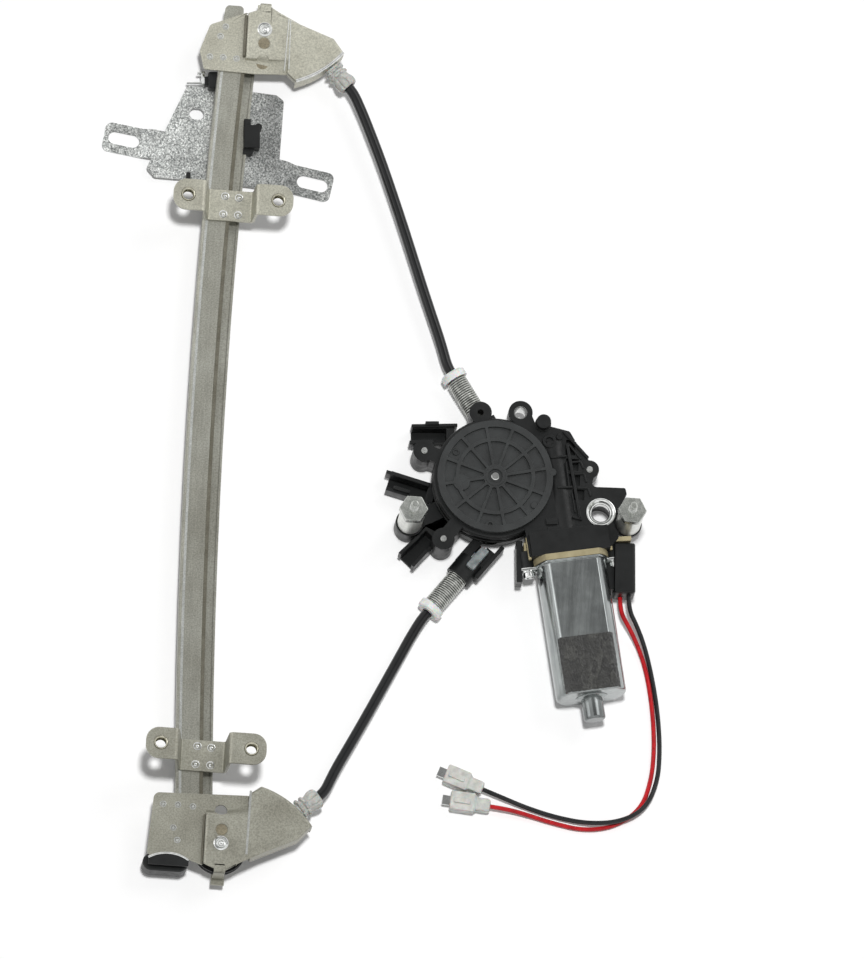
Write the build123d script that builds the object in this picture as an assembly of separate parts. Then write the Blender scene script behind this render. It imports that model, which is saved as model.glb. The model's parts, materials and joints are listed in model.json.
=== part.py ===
"""Cable window regulator with its drive unit, lying flat. Millimetres, +Z up, rail along Y."""
import math
import os

from build123d import *

# ---------------------------------------------------------------- driving dimensions (mm)

# Guide rail: a folded strip on a large arc, seen from above as bowed towards -X.
rail_radius = 3418.0
rail_mid_x = -75.9
rail_mid_y = -5.0
rail_width = 18.0
rail_height = 8.0
rail_sheet = 1.2
rail_foot_z = 6.0
rail_step = 3.6
rail_lip_height = 0.8
rail_corner = 2.2
rail_top_y = 215.6
rail_end_y = -208.0
rail_tab_half = 0.7
rail_tab_corner = 2.0

# Cable and pulleys. The cable runs a little to the right of the rail's centre line.
cable_radius = 0.75
cable_z = 9.9
cable_offset = 0.8
pulley_y_top = 202.6
pulley_y_low = -203.8
top_groove_radius = 10.2
low_groove_radius = 11.4
pulley_flange_height = 1.3
pulley_rim_half = 2.3
pulley_hub_radius = 5.4
pulley_rim = 0.7
rivet_radius = 2.5
rivet_bore = 1.5
rivet_head_radius = 3.6
rivet_head = 0.5
running_gap = 0.05
side_gap = 0.3
back_plate_sheet = 1.2
back_plate_margin = -0.6
back_plate_lug = 2.8

# Pulley brackets: one sheet with a raised pocket over the pulley and a raised wing.
bracket_sheet = 1.2
pocket_rise = 4.5
pocket_corner = 3.0
wing_wall_depth = 9.5
curved_wall_depth = 13.1
clinch_radius = 1.3
clinch_depth = 0.35
peep_radius = 2.9
peep_depth = 0.35
end_tab_width = 5.4
end_tab_gap = 0.3

# Mounting straps across the rail, with two raised ears each.
strap_sheet = 1.5
strap_width = 15.4
strap_offset = 3.6
strap_plate_width = 21.0
strap_wall_lean = 2.0
strap_hole_left = 21.2
strap_hole_right = 22.2
strap_ear_end = 7.2
strap_bend = 1.0
strap_top_y = 114.4
strap_top_rise = 14.8
strap_low_y = -160.1
strap_low_rise = 18.8
nut_radius = 5.2
nut_height = 4.8
nut_thread_radius = 2.6
nut_rim_gap = 0.8

# Glass carrier.
carrier_sheet = 1.5
carrier_z = 3.0
carrier_travel_down = 328.0
carrier_travel_up = 14.0
ear_slot_radius = 3.1
ear_slot_length = 15.0
ear_width = 14.6
ear_drop = 3.0
shoe_gap = 0.3
shoe_height = 6.5
shoe_length = 12.0
shoe_grip = 4.0
shoe_hold = 2.8
upper_shoe_y = 177.2
upper_shoe_reach = 8.6
lower_shoe_y = 133.0
lower_shoe_reach = 4.5
right_shoe_y = 151.7
right_shoe_length = 18.2
right_shoe_reach = 6.6
anchor_length = 14.0
anchor_width = 7.6
cable_slot = 1.1

# Rubber stop.
stop_length = 21.6
stop_width = 8.4
stop_low_z = 2.0
stop_height = 10.5
lip_depth = 6.5

# Bowden conduits.
conduit_radius = 2.5
ferrule_radius = 5.2
ferrule_length = 13.0
ferrule_seat = 8.0
ferrule_neck = 1.5
ferrule_play = 1.7
ferrule_mouth = 1.3
conduit_exit = 4.0
conduit_drum_z = 6.3
spring_radius = 5.1
spring_wire = 0.9
spring_length = 24.0
spring_gap = 0.3
cap_radius = 6.2
cap_length = 4.2
spigot_radius = 3.2

# Drive unit.
drum_x = 63.7
drum_y = -12.9
drum_radius = 17.4
drum_groove_radius = 15.0
drum_low_z = 2.0
drum_high_z = 8.6
drum_hub_radius = 8.6
wheel_radius = 26.3
wheel_height = 6.6
wheel_teeth = 73
damper_radius = 20.0
damper_bore = 9.0
damper_floor = 2.0
damper_knob = 2.0
wheel_room = 0.7
cup_wall = 2.0
cover_inset = 1.2
tray_floor = 1.5
channel_width = 10.0
channel_wall = 1.6
tray_high_z = 9.2
case_high_z = 19.4
cover_high_z = 22.4
cover_hub_radius = 5.8
cover_rim = 3.3
cover_ring_radius = 19.2
cover_ring_wall = 1.9
cover_ribs = 12
cover_rib_turn = 13.0
cover_rib_width = 1.5
cover_recess = 1.6
cover_hub_recess = 0.8
axle_radius = 3.0
axle_foot_margin = 2.2
axle_tip_radius = 1.5
boss_radius = 5.4
screw_radius = 1.5
screw_tip_radius = 1.35
screw_tip = 0.9
screw_length = 10.0
bush_outer_radius = 6.2
bush_inner_radius = 4.3
bush_wall = 1.2
eye_outer_radius = 5.8
eye_hole_radius = 3.4
standoff_foot_z = 12.0
sleeve_radius = 6.0
sleeve_height = 20.0
hex_flats = 12.0
hex_height = 5.0
shank_radius = 2.9
stud_radius = 1.9
stud_length = 8.0
stud_chamfer = 0.4
shank_depth = 8.0

# Motor.
motor_back = 45.4
worm_gap = 0.36
motor_z = 13.0
motor_turn = -78.5
can_radius = 17.0
can_half = 12.5
can_length = 66.8
can_wall = 1.6
boss_end_radius = 5.2
boss_end_length = 11.4
can_flange = 1.4
can_ear_radius = 3.6
can_screw_head_radius = 3.0
can_screw_head = 2.2
can_screw_gap = 0.6
shaft_radius = 2.0
worm_radius = 3.9
worm_back = 56.0
worm_length = 30.0
worm_room = 0.4
shaft_back = 62.0
shaft_front = 5.0
brush_room_radius = 9.6
worm_tube_radius = 7.4
worm_tube_start = 6.0
worm_tube_length = 54.0
core_radius = 10.6
core_length = 34.0
bearing_radius = 4.2
magnet_wall = 3.6
card_sheet = 3.0
card_finger = 11.0
card_finger_sheet = 1.4
can_lug = 5.0
brush_box_half = 19.0

# Supply socket beside the can.
socket_right = 26.4
socket_drop = 13.7
socket_turn = 3.0
socket_width = 10.2
socket_length = 25.0
socket_low_z = 4.0
socket_high_z = 18.0

# Supply leads.
lead_radius = 1.1
lead_z = 1.15

# ---------------------------------------------------------------- values that follow

rail_centre_x = rail_mid_x + rail_radius
rail_face_z = rail_foot_z + rail_height
plate_z = rail_face_z + bracket_sheet
pocket_z = plate_z + pocket_rise
strap_plate_z = rail_face_z + strap_sheet
carrier_top_z = carrier_z + carrier_sheet
back_plate_z = cable_z - pulley_rim_half - side_gap - back_plate_sheet
wheel_low_z = motor_z - wheel_height / 2
wheel_high_z = motor_z + wheel_height / 2
cup_radius = wheel_radius + wheel_room + cup_wall
cover_radius = cup_radius - cover_inset
motor_side = wheel_radius + worm_radius + worm_gap
motor_axis = (math.cos(math.radians(motor_turn)), math.sin(math.radians(motor_turn)))
motor_x = drum_x - motor_side * motor_axis[1] + motor_back * motor_axis[0]
motor_y = drum_y + motor_side * motor_axis[0] + motor_back * motor_axis[1]
socket_x = motor_x + socket_right
socket_y = motor_y - socket_drop
can_ear_reach = can_radius + can_screw_head_radius + can_screw_gap
core_start = (can_length - core_length) / 2
axle = Vector(drum_x, drum_y, 0)
made = {}


def rail_x(y):
    """X of the rail's centre line at this Y."""
    return rail_centre_x - math.sqrt(rail_radius**2 - (y - rail_mid_y) ** 2)


def pulley_place(y, groove_radius):
    """The pulley's X, and the tilt in degrees of the cable where it meets the pulley."""
    reach = rail_radius - cable_offset - groove_radius
    tilt = math.asin((y - rail_mid_y) / reach)
    return rail_centre_x - reach * math.cos(tilt), math.degrees(tilt)


pulley_x_top, top_tilt = pulley_place(pulley_y_top, top_groove_radius)
pulley_x_low, low_tilt = pulley_place(pulley_y_low, low_groove_radius)


# ---------------------------------------------------------------- shared shapes


def save(node, *solids):
    """Write one node as STEP, and keep it."""
    shape = solids[0] if len(solids) == 1 else Compound(children=list(solids))
    made[node] = shape
    export_step(shape, f"parts/{node}.step")
    return shape


def rounded_face(corners):
    """A flat face at Z = 0 through corners (x, y, radius)."""
    count = len(corners)
    starts, edges = [], []
    for i, (x, y, radius) in enumerate(corners):
        here = Vector(x, y)
        back = (Vector(*corners[i - 1][:2]) - here).normalized()
        ahead = (Vector(*corners[(i + 1) % count][:2]) - here).normalized()
        half = math.radians(back.get_angle(ahead)) / 2
        run = radius / math.tan(half)
        start, stop = here + back * run, here + ahead * run
        if radius > 0:
            middle = here + (back + ahead).normalized() * (radius / math.sin(half) - radius)
            edges.append(ThreePointArc(start, middle, stop))
        starts.append((start, stop))
    for i in range(count):
        stop, start = starts[i][1], starts[(i + 1) % count][0]
        if (start - stop).length > 1e-6:
            edges.append(Line(stop, start))
    return Face(Wire(edges))


def prism(face, low, high):
    return Pos(0, 0, low) * extrude(face, high - low, dir=(0, 0, 1))


def disc(x, y, radius, low, high):
    stand = (Align.CENTER, Align.CENTER, Align.MIN)
    return Pos(x, y, low) * Cylinder(radius, high - low, align=stand)


def block(x0, x1, y0, y1, z0, z1):
    return Pos((x0 + x1) / 2, (y0 + y1) / 2, (z0 + z1) / 2) * Box(x1 - x0, y1 - y0, z1 - z0)


def rod(start, stop, radius):
    """A round bar from one point to another."""
    start, stop = Vector(*start), Vector(*stop)
    bar = Cylinder(radius, (stop - start).length, align=(Align.CENTER, Align.CENTER, Align.MIN))
    return Plane(origin=start, z_dir=stop - start) * bar


def turned(outline, origin, direction):
    """A solid of revolution: outline is (distance along the axis, radius) pairs."""
    corners = [(along, radius, 0) for along, radius in outline]
    spun = revolve(rounded_face(corners), axis=Axis.X)
    return Plane(origin=origin, x_dir=direction, z_dir=(0, 0, 1)) * spun


def stadium(x, y, length, radius, turn=0.0):
    """A slot-shaped face: length is end to end."""
    return Pos(x, y) * Rot(0, 0, turn) * SlotOverall(length, 2 * radius)


def strip(chain, thickness):
    """A flat face of constant width on the right-hand side of a chain of points."""
    inner = []
    for i, point in enumerate(chain):
        here = Vector(*point)
        sides = []
        for a, b in ((i - 1, i), (i, i + 1)):
            if a >= 0 and b < len(chain):
                along = (Vector(*chain[b]) - Vector(*chain[a])).normalized()
                sides.append(Vector(along.Y, -along.X))
        normal = sum(sides[1:], sides[0]).normalized()
        inner.append(here + normal * (thickness / normal.dot(sides[0])))
    around = [(*point, 0) for point in chain] + [(p.X, p.Y, 0) for p in reversed(inner)]
    return rounded_face(around)


def sheet_section(chain, thickness, bend):
    """The cut section of a folded sheet: chain is its upper line from -X to +X, in (x, z)."""
    lower = []
    for i in range(len(chain)):
        sides = []
        for a, b in ((i - 1, i), (i, i + 1)):
            if a >= 0 and b < len(chain):
                along = (Vector(*chain[b]) - Vector(*chain[a])).normalized()
                sides.append(Vector(along.Y, -along.X))
        normal = sum(sides[1:], sides[0]).normalized()
        lower.append(Vector(*chain[i]) + normal * (thickness / normal.dot(sides[0])))
    upper_corners, lower_corners = [], []
    for i, point in enumerate(chain):
        outer = inner = 0
        if 0 < i < len(chain) - 1:
            a = Vector(*chain[i]) - Vector(*chain[i - 1])
            b = Vector(*chain[i + 1]) - Vector(*chain[i])
            turns_down = a.X * b.Y - a.Y * b.X < 0
            outer, inner = (bend + thickness, bend) if turns_down else (bend, bend + thickness)
        upper_corners.append((*point, outer))
        lower_corners.append((lower[i].X, lower[i].Y, inner))
    return Plane.XZ * rounded_face(upper_corners + lower_corners[::-1])


def tangent_route(points, clear=0.0):
    """Straight runs joined by tangent arcs, each as large as its two runs and the clear start allow."""
    points = [Vector(*p) for p in points]
    edges, last, radii = [], points[0], []
    for before, here, after in zip(points, points[1:], points[2:]):
        back, ahead = before - here, after - here
        run = 0.45 * min(back.length, ahead.length)
        if clear > 0 and not radii:
            run = min(run, back.length - clear)
        half = math.radians(back.get_angle(ahead)) / 2
        back, ahead = back.normalized(), ahead.normalized()
        radius = run * math.tan(half)
        middle = here + (back + ahead).normalized() * (radius / math.sin(half) - radius)
        edges.append(Line(last, here + back * run))
        edges.append(ThreePointArc(here + back * run, middle, here + ahead * run))
        last = here + ahead * run
        radii.append(radius)
    edges.append(Line(last, points[-1]))
    return Wire(edges), radii


def tube(name, points, radius, clear=0.0):
    """A round cable or sleeve along a route, with its length, volume share and bends printed."""
    route, radii = tangent_route(points, clear)
    start = Plane(origin=route @ 0, z_dir=route % 0)
    solid = sweep(start * Circle(radius), path=route)
    share = solid.volume / (math.pi * radius**2 * route.length)
    bends = " ".join(f"{r:.1f}" for r in radii)
    print(f"{name}: length {route.length:.1f}, volume share {share:.4f}, bends {bends}")
    return solid


# ---------------------------------------------------------------- guide rail


def along_rail(section, y_low, y_high):
    """Carry a section, drawn in XZ about the rail's centre line, along the rail's arc."""
    start = math.degrees(math.asin((y_high - rail_mid_y) / rail_radius))
    stop = math.degrees(math.asin((y_low - rail_mid_y) / rail_radius))
    spin = Axis((rail_centre_x, rail_mid_y, 0), (0, 0, 1))
    placed = Pos(rail_mid_x, rail_mid_y, 0) * section
    return revolve(placed.rotate(spin, -start), axis=spin, revolution_arc=start - stop)


def rail_section():
    """Left wall, raised face, step down and low right flange with a turned edge."""
    half, sheet = rail_width / 2, rail_sheet
    step = rail_step
    foot, face = rail_foot_z, rail_face_z
    corners = [
        (-half, foot, 0),
        (-half, face, rail_corner),
        (step, face, rail_corner - 0.4),
        (step, foot + sheet, 0),
        (half - sheet, foot + sheet, 0),
        (half - sheet, foot + sheet + rail_lip_height, 0),
        (half, foot + sheet + rail_lip_height, 0),
        (half, foot, 0),
        (step - sheet, foot, 0),
        (step - sheet, face - sheet, 0),
        (sheet - half, face - sheet, rail_corner - sheet),
        (sheet - half, foot, 0),
    ]
    return Plane.XZ * rounded_face(corners)


def guide_rail():
    """The rail with its right side cut back at both ends to clear the pulleys."""
    rail = along_rail(rail_section(), rail_end_y, rail_top_y)
    clear = max(top_groove_radius, low_groove_radius) + pulley_flange_height + 2.0
    for pulley_y, side in ((pulley_y_top, 1), (pulley_y_low, -1)):
        near, far = pulley_y - side * clear, pulley_y + side * 3 * clear
        left = rail_x(pulley_y) + rail_tab_half
        rail -= block(left, left + 2 * rail_width, min(near, far), max(near, far), 0, 2 * rail_face_z)
    tab_left = rail_x(rail_top_y) - rail_width / 2
    tab_right = rail_x(pulley_y_top) + rail_tab_half
    corner = Vector(tab_left, rail_top_y)
    keep = rounded_face([
        (tab_left - rail_width, rail_end_y - rail_width, 0),
        (tab_right + 2 * rail_width, rail_end_y - rail_width, 0),
        (tab_right + 2 * rail_width, pulley_y_top - clear, 0),
        (tab_right, pulley_y_top - clear, 0),
        (tab_right, rail_top_y - 0.3, rail_tab_corner),
        (tab_left + 0.2, corner.Y - 0.3, rail_tab_corner),
        (tab_left - 0.2, rail_top_y - 2 * rail_tab_corner - 1, 0),
        (tab_left - rail_width, pulley_y_top - clear, 0),
    ])
    return rail & prism(keep, 0, 2 * rail_face_z)


# ---------------------------------------------------------------- pulley brackets

# Outlines are measured from the pulley's axis; +y points to the rail's nearer end.
top_bracket = {
    "x": pulley_x_top,
    "y": pulley_y_top,
    "side": 1,
    "groove": top_groove_radius,
    "tilt": abs(top_tilt),
    "tab": 13.2,
    "plate": [(-28.0, -20.6, 2), (-30.5, -11.3, 3), (-26.1, 2.1, 3), (-8.9, 9.3, 0.5),
              (-2.0, 6.0, 0), (12.0, -6.0, 0), (12.9, -20.4, 0.5), (-3.6, -21.3, 1)],
    "pocket_left": -8.4,
    "pocket_foot": -14.8,
    "pocket_end": [(-8.4, 8.1), (-3.0, 10.4), (3.4, 11.0), (11.5, 6.3)],
    "bend": 11.8,
    "wing": [(11.5, 6.3), (33.6, -1.8), (38.7, -8.4)],
    "curve": [(38.7, -8.4), (29.6, -17.5), (16.2, -24.6)],
    "clinches": [(-18.6, 1.5), (-20.9, -3.5), (-25.4, -14.1), (-19.0, -14.0), (-12.6, -14.2)],
    "hole": (0.0, -15.6),
    "ferrule": (33.2, -13.4),
    "ferrule_turn": -46.0,
}
low_bracket = {
    "x": pulley_x_low,
    "y": pulley_y_low,
    "side": -1,
    "groove": low_groove_radius,
    "tilt": abs(low_tilt),
    "tab": 14.6,
    "plate": [(-32.9, -24.3, 3), (-35.0, 7.0, 2), (-16.9, 6.4, 1), (-14.9, 8.0, 1), (-7.6, 10.3, 0.5),
              (-2.0, 6.0, 0), (12.0, -6.0, 0), (12.4, -25.7, 0.5)],
    "pocket_left": -8.0,
    "pocket_foot": -15.4,
    "pocket_end": [(-8.0, 10.4), (-3.0, 12.4), (4.0, 12.4), (14.5, 5.9)],
    "bend": 12.4,
    "wing": [(14.5, 5.9), (36.9, -5.0), (43.0, -12.2)],
    "curve": [(43.0, -12.2), (32.8, -22.6), (17.9, -29.8)],
    "clinches": [(-28.4, -18.7), (-21.3, -18.8), (-14.1, -18.4), (-22.9, -7.3), (-20.7, -1.3)],
    "hole": (-0.6, -17.2),
    "ferrule": (35.4, -20.2),
    "ferrule_turn": -40.0,
}


def circle_through(a, b, c):
    """Centre and radius of the circle through three points."""
    ax, ay, bx, by, cx, cy = *a, *b, *c
    turn = 2 * (ax * (by - cy) + bx * (cy - ay) + cx * (ay - by))
    sa, sb, sc = ax * ax + ay * ay, bx * bx + by * by, cx * cx + cy * cy
    x = (sa * (by - cy) + sb * (cy - ay) + sc * (ay - by)) / turn
    y = (sa * (cx - bx) + sb * (ax - cx) + sc * (bx - ax)) / turn
    return Vector(x, y), math.hypot(ax - x, ay - y)


def ferrule_line(kind):
    """Where the conduit's ferrule sits, and its direction away from the pulley, in the bracket's frame."""
    turn = math.radians(kind["ferrule_turn"])
    return Vector(*kind["ferrule"]), Vector(math.cos(turn), math.sin(turn))


def pulley_bracket(kind):
    """Plate on the rail's face, pocket over the pulley, wing with a straight and a curved wall."""
    sheet = bracket_sheet
    left, foot, bend = kind["pocket_left"], kind["pocket_foot"], kind["bend"]
    end, wing, curve = kind["pocket_end"], kind["wing"], kind["curve"]
    centre, bow = circle_through(*curve)
    first, middle, last = [Vector(*p) for p in curve]

    def raised(inset):
        """The pocket and the wing together, moved in by inset."""
        edge = [Vector(left + inset, foot + inset)]
        edge += [Vector(end[0][0] + inset, end[0][1] - inset)]
        edge += [Vector(x, y - inset) for x, y in end[1:-1]]
        edge += [Vector(wing[0][0], wing[0][1] - inset), Vector(wing[1][0] - inset * 0.5, wing[1][1] - inset)]
        arc_start = centre + (first - centre).normalized() * (bow - inset) + Vector(-inset, 0)
        arc_stop = centre + (last - centre).normalized() * (bow - inset) + Vector(inset, 0)
        arc_mid = centre + (middle - centre).normalized() * (bow - inset)
        edges = [Line(a, b) for a, b in zip(edge, edge[1:])]
        edges += [Line(edge[-1], arc_start), ThreePointArc(arc_start, arc_mid, arc_stop)]
        corner = Vector(bend + inset, last.Y + 4.0)
        step = Vector(bend + inset, foot + inset)
        edges += [Line(arc_stop, corner), Line(corner, step), Line(step, edge[0])]
        return Face(Wire(edges))

    outer = prism(raised(0), rail_face_z, pocket_z)
    rims = outer.edges().filter_by(lambda e: abs(e.center().Z - pocket_z) < 1e-6 and e.length > 3.0)
    outer = fillet(rims, 1.6)
    inner = prism(raised(sheet), rail_face_z - 1, pocket_z - sheet)
    shape = prism(rounded_face(kind["plate"]), rail_face_z, plate_z) - inner
    shape += outer - inner

    # the pocket's end is an open edge between the wing's wall and the left wall
    mouth = strip(end, 3 * sheet)
    shape -= prism(mouth, rail_face_z - 1, pocket_z - sheet)
    shape -= prism(strip([(x - 0.5, y + 0.5) for x, y in end], 2 * sheet), 0, pocket_z - sheet)

    # walls of the wing
    straight = strip(wing, sheet)
    shape += prism(straight, pocket_z - wing_wall_depth, pocket_z - 1.7)
    band = Pos(centre.X, centre.Y) * (Circle(bow) - Circle(bow - sheet))
    reach = rounded_face([
        (first.X + 1.0, first.Y + 0.2, 0),
        (middle.X + 4, middle.Y - 4, 0),
        (last.X, last.Y - 2.0, 0),
        (last.X, last.Y + 4.0, 0),
        (middle.X - 3.5, middle.Y + 3.5, 0),
        (first.X - 2.6, first.Y + 0.2, 0),
    ])
    shape += prism(band & reach, pocket_z - curved_wall_depth, pocket_z - 1.7)

    # tab bent down at the end, which stands on the back plate's lug
    reach, foot_z = kind["tab"], back_plate_z + back_plate_sheet
    chain = [(0, pocket_z), (reach - end[2][1] + 2.5, pocket_z), (reach - end[2][1] + 2.5, foot_z)]
    tab = extrude(sheet_section(chain, sheet, 0.6), end_tab_width, dir=(0, -1, 0))
    shape += Pos(end_tab_width / 2, end[2][1] - 2.5, 0) * Rot(0, 0, 90) * tab

    # slot for the ferrule's neck, open downwards
    at, out = ferrule_line(kind)
    neck = ferrule_radius - ferrule_neck + 0.1
    turn = math.degrees(math.atan2(out.Y, out.X))
    gate = Plane(origin=(at.X, at.Y, cable_z), x_dir=out, z_dir=(0, 0, 1))
    shape -= gate * (Rot(0, 90, 0) * Cylinder(neck, 16))
    shape -= gate * Pos(0, 0, -5 * neck / 2) * Box(16, 2 * neck, 5 * neck)

    # rivet hole, gauging hole, peep dimple and clinch pits
    shape -= disc(0, 0, rivet_radius, 0, pocket_z + 1)
    shape -= disc(*kind["hole"], peep_radius, 0, pocket_z + 1)
    shape -= disc(0, -6.8, peep_radius, pocket_z - peep_depth, pocket_z + 1)
    for x, y in kind["clinches"]:
        shape -= disc(x, y, clinch_radius, plate_z - clinch_depth, plate_z + 1)
    return placed_bracket(kind, shape)


def placed_bracket(kind, shape):
    """Move a shape from a bracket's own frame to its pulley; the lower bracket is a mirror image."""
    if kind["side"] < 0:
        shape = mirror(shape, about=Plane.XZ)
    return Pos(kind["x"], kind["y"], 0) * shape


def bumper_lip(shape):
    """The lower plate's end, turned down into the rubber stop."""
    x0 = pulley_x_low + low_bracket["plate"][1][0] + 1.5
    x1 = pulley_x_low + low_bracket["plate"][2][0] - 1.0
    y = pulley_y_low - low_bracket["plate"][1][1]
    reach = 3.0
    section = sheet_section(
        [(-4.0, plate_z), (reach, plate_z), (reach, plate_z - lip_depth)], bracket_sheet, 0.9)
    lip = Pos(x1, y, 0) * Rot(0, 0, -90) * extrude(section, x1 - x0, dir=(0, -1, 0))
    return shape + lip, ((x0 + x1) / 2, y - reach + bracket_sheet / 2, x1 - x0)


def pulley_radius(kind):
    return kind["groove"] + pulley_flange_height


def back_plate(kind):
    """Disc behind the pulley, with a lug under the bracket's end tab."""
    radius, tip, half = pulley_radius(kind) + back_plate_margin, kind["tab"] + back_plate_lug, end_tab_width / 2
    plate = disc(0, 0, radius, back_plate_z, back_plate_z + back_plate_sheet)
    plate += block(-half - 0.5, half + 0.5, 0, tip, back_plate_z, back_plate_z + back_plate_sheet)
    plate -= disc(0, 0, rivet_radius, 0, pocket_z)
    plate -= disc(0, 0, rivet_radius + 1.1, 0, back_plate_z)
    return placed_bracket(kind, plate)


def pulley(kind):
    """Grooved wheel with a hub that reaches up to the pocket."""
    rim, root = pulley_radius(kind), kind["groove"] - cable_radius - 0.1
    low, high = cable_z - pulley_rim_half, cable_z + pulley_rim_half
    hub_top = pocket_z - bracket_sheet - side_gap
    bore = rivet_radius + running_gap
    outline = rounded_face([
        (bore, low, 0), (rim, low, 0), (rim, low + pulley_rim, 0), (root, cable_z - cable_radius - 0.1, 0),
        (root, cable_z + cable_radius + 0.1, 0), (rim, high - pulley_rim, 0), (rim, high, 0),
        (pulley_hub_radius, high, 0), (pulley_hub_radius, hub_top, 0), (bore, hub_top, 0),
    ])
    return placed_bracket(kind, revolve(Plane.XZ * outline, axis=Axis.Z))


def pulley_rivet(kind):
    """Hollow rivet through the back plate, the pulley and the pocket."""
    low, high = back_plate_z, pocket_z
    shank = disc(0, 0, rivet_radius, low - rivet_head, high + rivet_head)
    shank += disc(0, 0, rivet_head_radius, low - rivet_head, low)
    shank += disc(0, 0, rivet_head_radius, high, high + rivet_head)
    shank -= disc(0, 0, rivet_bore, high - 3.5, high + 2)
    return placed_bracket(kind, shank)


# ---------------------------------------------------------------- mounting straps


def mounting_strap(y, rise):
    """A hat-shaped strap: plate on the rail's face, two raised ears with holes."""
    middle = rail_x(y) + strap_offset
    half = strap_plate_width / 2
    ear_z = strap_plate_z + rise
    ends = (-strap_hole_left - strap_ear_end, strap_hole_right + strap_ear_end)
    chain = [
        (ends[0], ear_z), (-half - strap_wall_lean, ear_z), (-half, strap_plate_z),
        (half, strap_plate_z), (half + strap_wall_lean * 0.4, ear_z), (ends[1], ear_z),
    ]
    strap = extrude(sheet_section(chain, strap_sheet, strap_bend), strap_width / 2, both=True)
    width = strap_width / 2
    outline = rounded_face([
        (ends[0], -width, 6.4), (ends[0], width, 6.4), (-half - 3, width, 0), (half + 3, width, 0),
        (ends[1], width, 6.4), (ends[1], -width, 6.4), (half + 3, -width, 0), (-half - 3, -width, 0),
    ])
    strap &= prism(outline, 0, ear_z + 1)
    for x in (-strap_hole_left, strap_hole_right):
        strap -= disc(x, 0, nut_thread_radius + nut_rim_gap, ear_z - 5, ear_z + 1)
    for x, pit_y in ((-2.7, 4.6), (4.0, 4.2), (-3.2, -4.4), (4.0, -4.4)):
        strap -= disc(x, pit_y, clinch_radius, strap_plate_z - clinch_depth, strap_plate_z + 1)
    return Pos(middle, y, 0) * strap


def weld_nuts():
    """Round weld nuts under the four ears."""
    nuts = []
    for y, rise in ((strap_top_y, strap_top_rise), (strap_low_y, strap_low_rise)):
        high = strap_plate_z + rise - strap_sheet
        for x in (-strap_hole_left, strap_hole_right):
            x += rail_x(y) + strap_offset
            nut = disc(x, y, nut_radius, high - nut_height, high)
            nuts.append(nut - disc(x, y, nut_thread_radius, high - nut_height - 1, high + 1))
    return nuts


# ---------------------------------------------------------------- glass carrier

ear_left = {"x": -122.4, "y": 147.9, "root": (-108.0, 145.9), "turn": 172.0, "end": 9.8}
ear_right = {"x": -30.5, "y": 132.6, "root": (-46.6, 135.3), "turn": -9.6, "end": 9.6}
carrier_corners = [
    (-93.5, 176.5, 0.5), (-62.0, 175.6, 0.5), (-50.1, 174.8, 2), (-46.5, 172.0, 2),
    (-47.4, 127.4, 1), (-82.0, 129.2, 0), (-106.8, 129.5, 2), (-110.9, 133.7, 2),
]


def slotted_ear(ear):
    """A strip from the carrier's edge, stepped down and slotted."""
    reach = math.hypot(ear["x"] - ear["root"][0], ear["y"] - ear["root"][1]) + ear["end"]
    low_z = carrier_top_z - ear_drop
    chain = [(-6.0, carrier_top_z), (2.0, carrier_top_z), (6.5, low_z), (reach, low_z)]
    body = extrude(sheet_section(chain, carrier_sheet, 0.8), ear_width / 2, both=True)
    half = ear_width / 2
    body &= prism(rounded_face([
        (-6, -half, 0), (reach, -half, 3.2), (reach, half, 3.2), (-6, half, 0),
    ]), -1, carrier_top_z + 1)
    body = Pos(*ear["root"], 0) * Rot(0, 0, ear["turn"]) * body
    slot = stadium(ear["x"], ear["y"], ear_slot_length, ear_slot_radius, ear["turn"])
    return body - prism(slot, -1, carrier_top_z + 1)


def carrier_plate():
    plate = prism(rounded_face(carrier_corners), carrier_z, carrier_top_z)
    plate -= prism(stadium(-88.2, 162.6, 7.0, 2.9), 0, carrier_top_z + 1)
    plate += slotted_ear(ear_left) + slotted_ear(ear_right)
    for x, y, radius in ((-89.1, 142.3, 3.0), (-101.0, 139.5, 1.7), (-97.0, 145.0, 1.7), (-55.0, 137.0, 1.7)):
        plate -= disc(x, y, radius, carrier_top_z - peep_depth, carrier_top_z + 1)
    return plate


def shoe(x0, x1, y0, y1):
    """A sliding block with a groove that follows the rail's edge."""
    body = block(x0, x1, y0, y1, carrier_top_z, carrier_top_z + shoe_height)
    half, gap = rail_width / 2, shoe_gap
    left_wall = rounded_face([
        (-half - gap, rail_foot_z - gap, 0), (-half - gap, 2 * rail_face_z, 0),
        (rail_sheet + gap - half, 2 * rail_face_z, 0), (rail_sheet + gap - half, rail_foot_z - gap, 0),
    ])
    low, high = rail_foot_z - gap, rail_foot_z + rail_sheet + rail_lip_height + gap
    flange = rounded_face([
        (rail_step - rail_sheet - gap, low, 0), (rail_step - rail_sheet - gap, 2 * rail_face_z, 0),
        (rail_step + gap, 2 * rail_face_z, 0), (rail_step + gap, high, 0),
        (half + gap, high, 0), (half + gap, low, 0),
    ])
    for groove in (left_wall, flange):
        body -= along_rail(Plane.XZ * groove, y0 - 2, y1 + 2)
    return body


def guide_shoes_left():
    shoes = []
    for middle, reach in ((upper_shoe_y, upper_shoe_reach), (lower_shoe_y, lower_shoe_reach)):
        edge, half = rail_x(middle) - rail_width / 2, shoe_length / 2
        body = shoe(edge - reach, edge + shoe_grip, middle - half, middle + half)
        shoes.append(fillet(body.edges().filter_by(Axis.Z).group_by(Axis.X)[0], 1.2))
    return shoes


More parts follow.
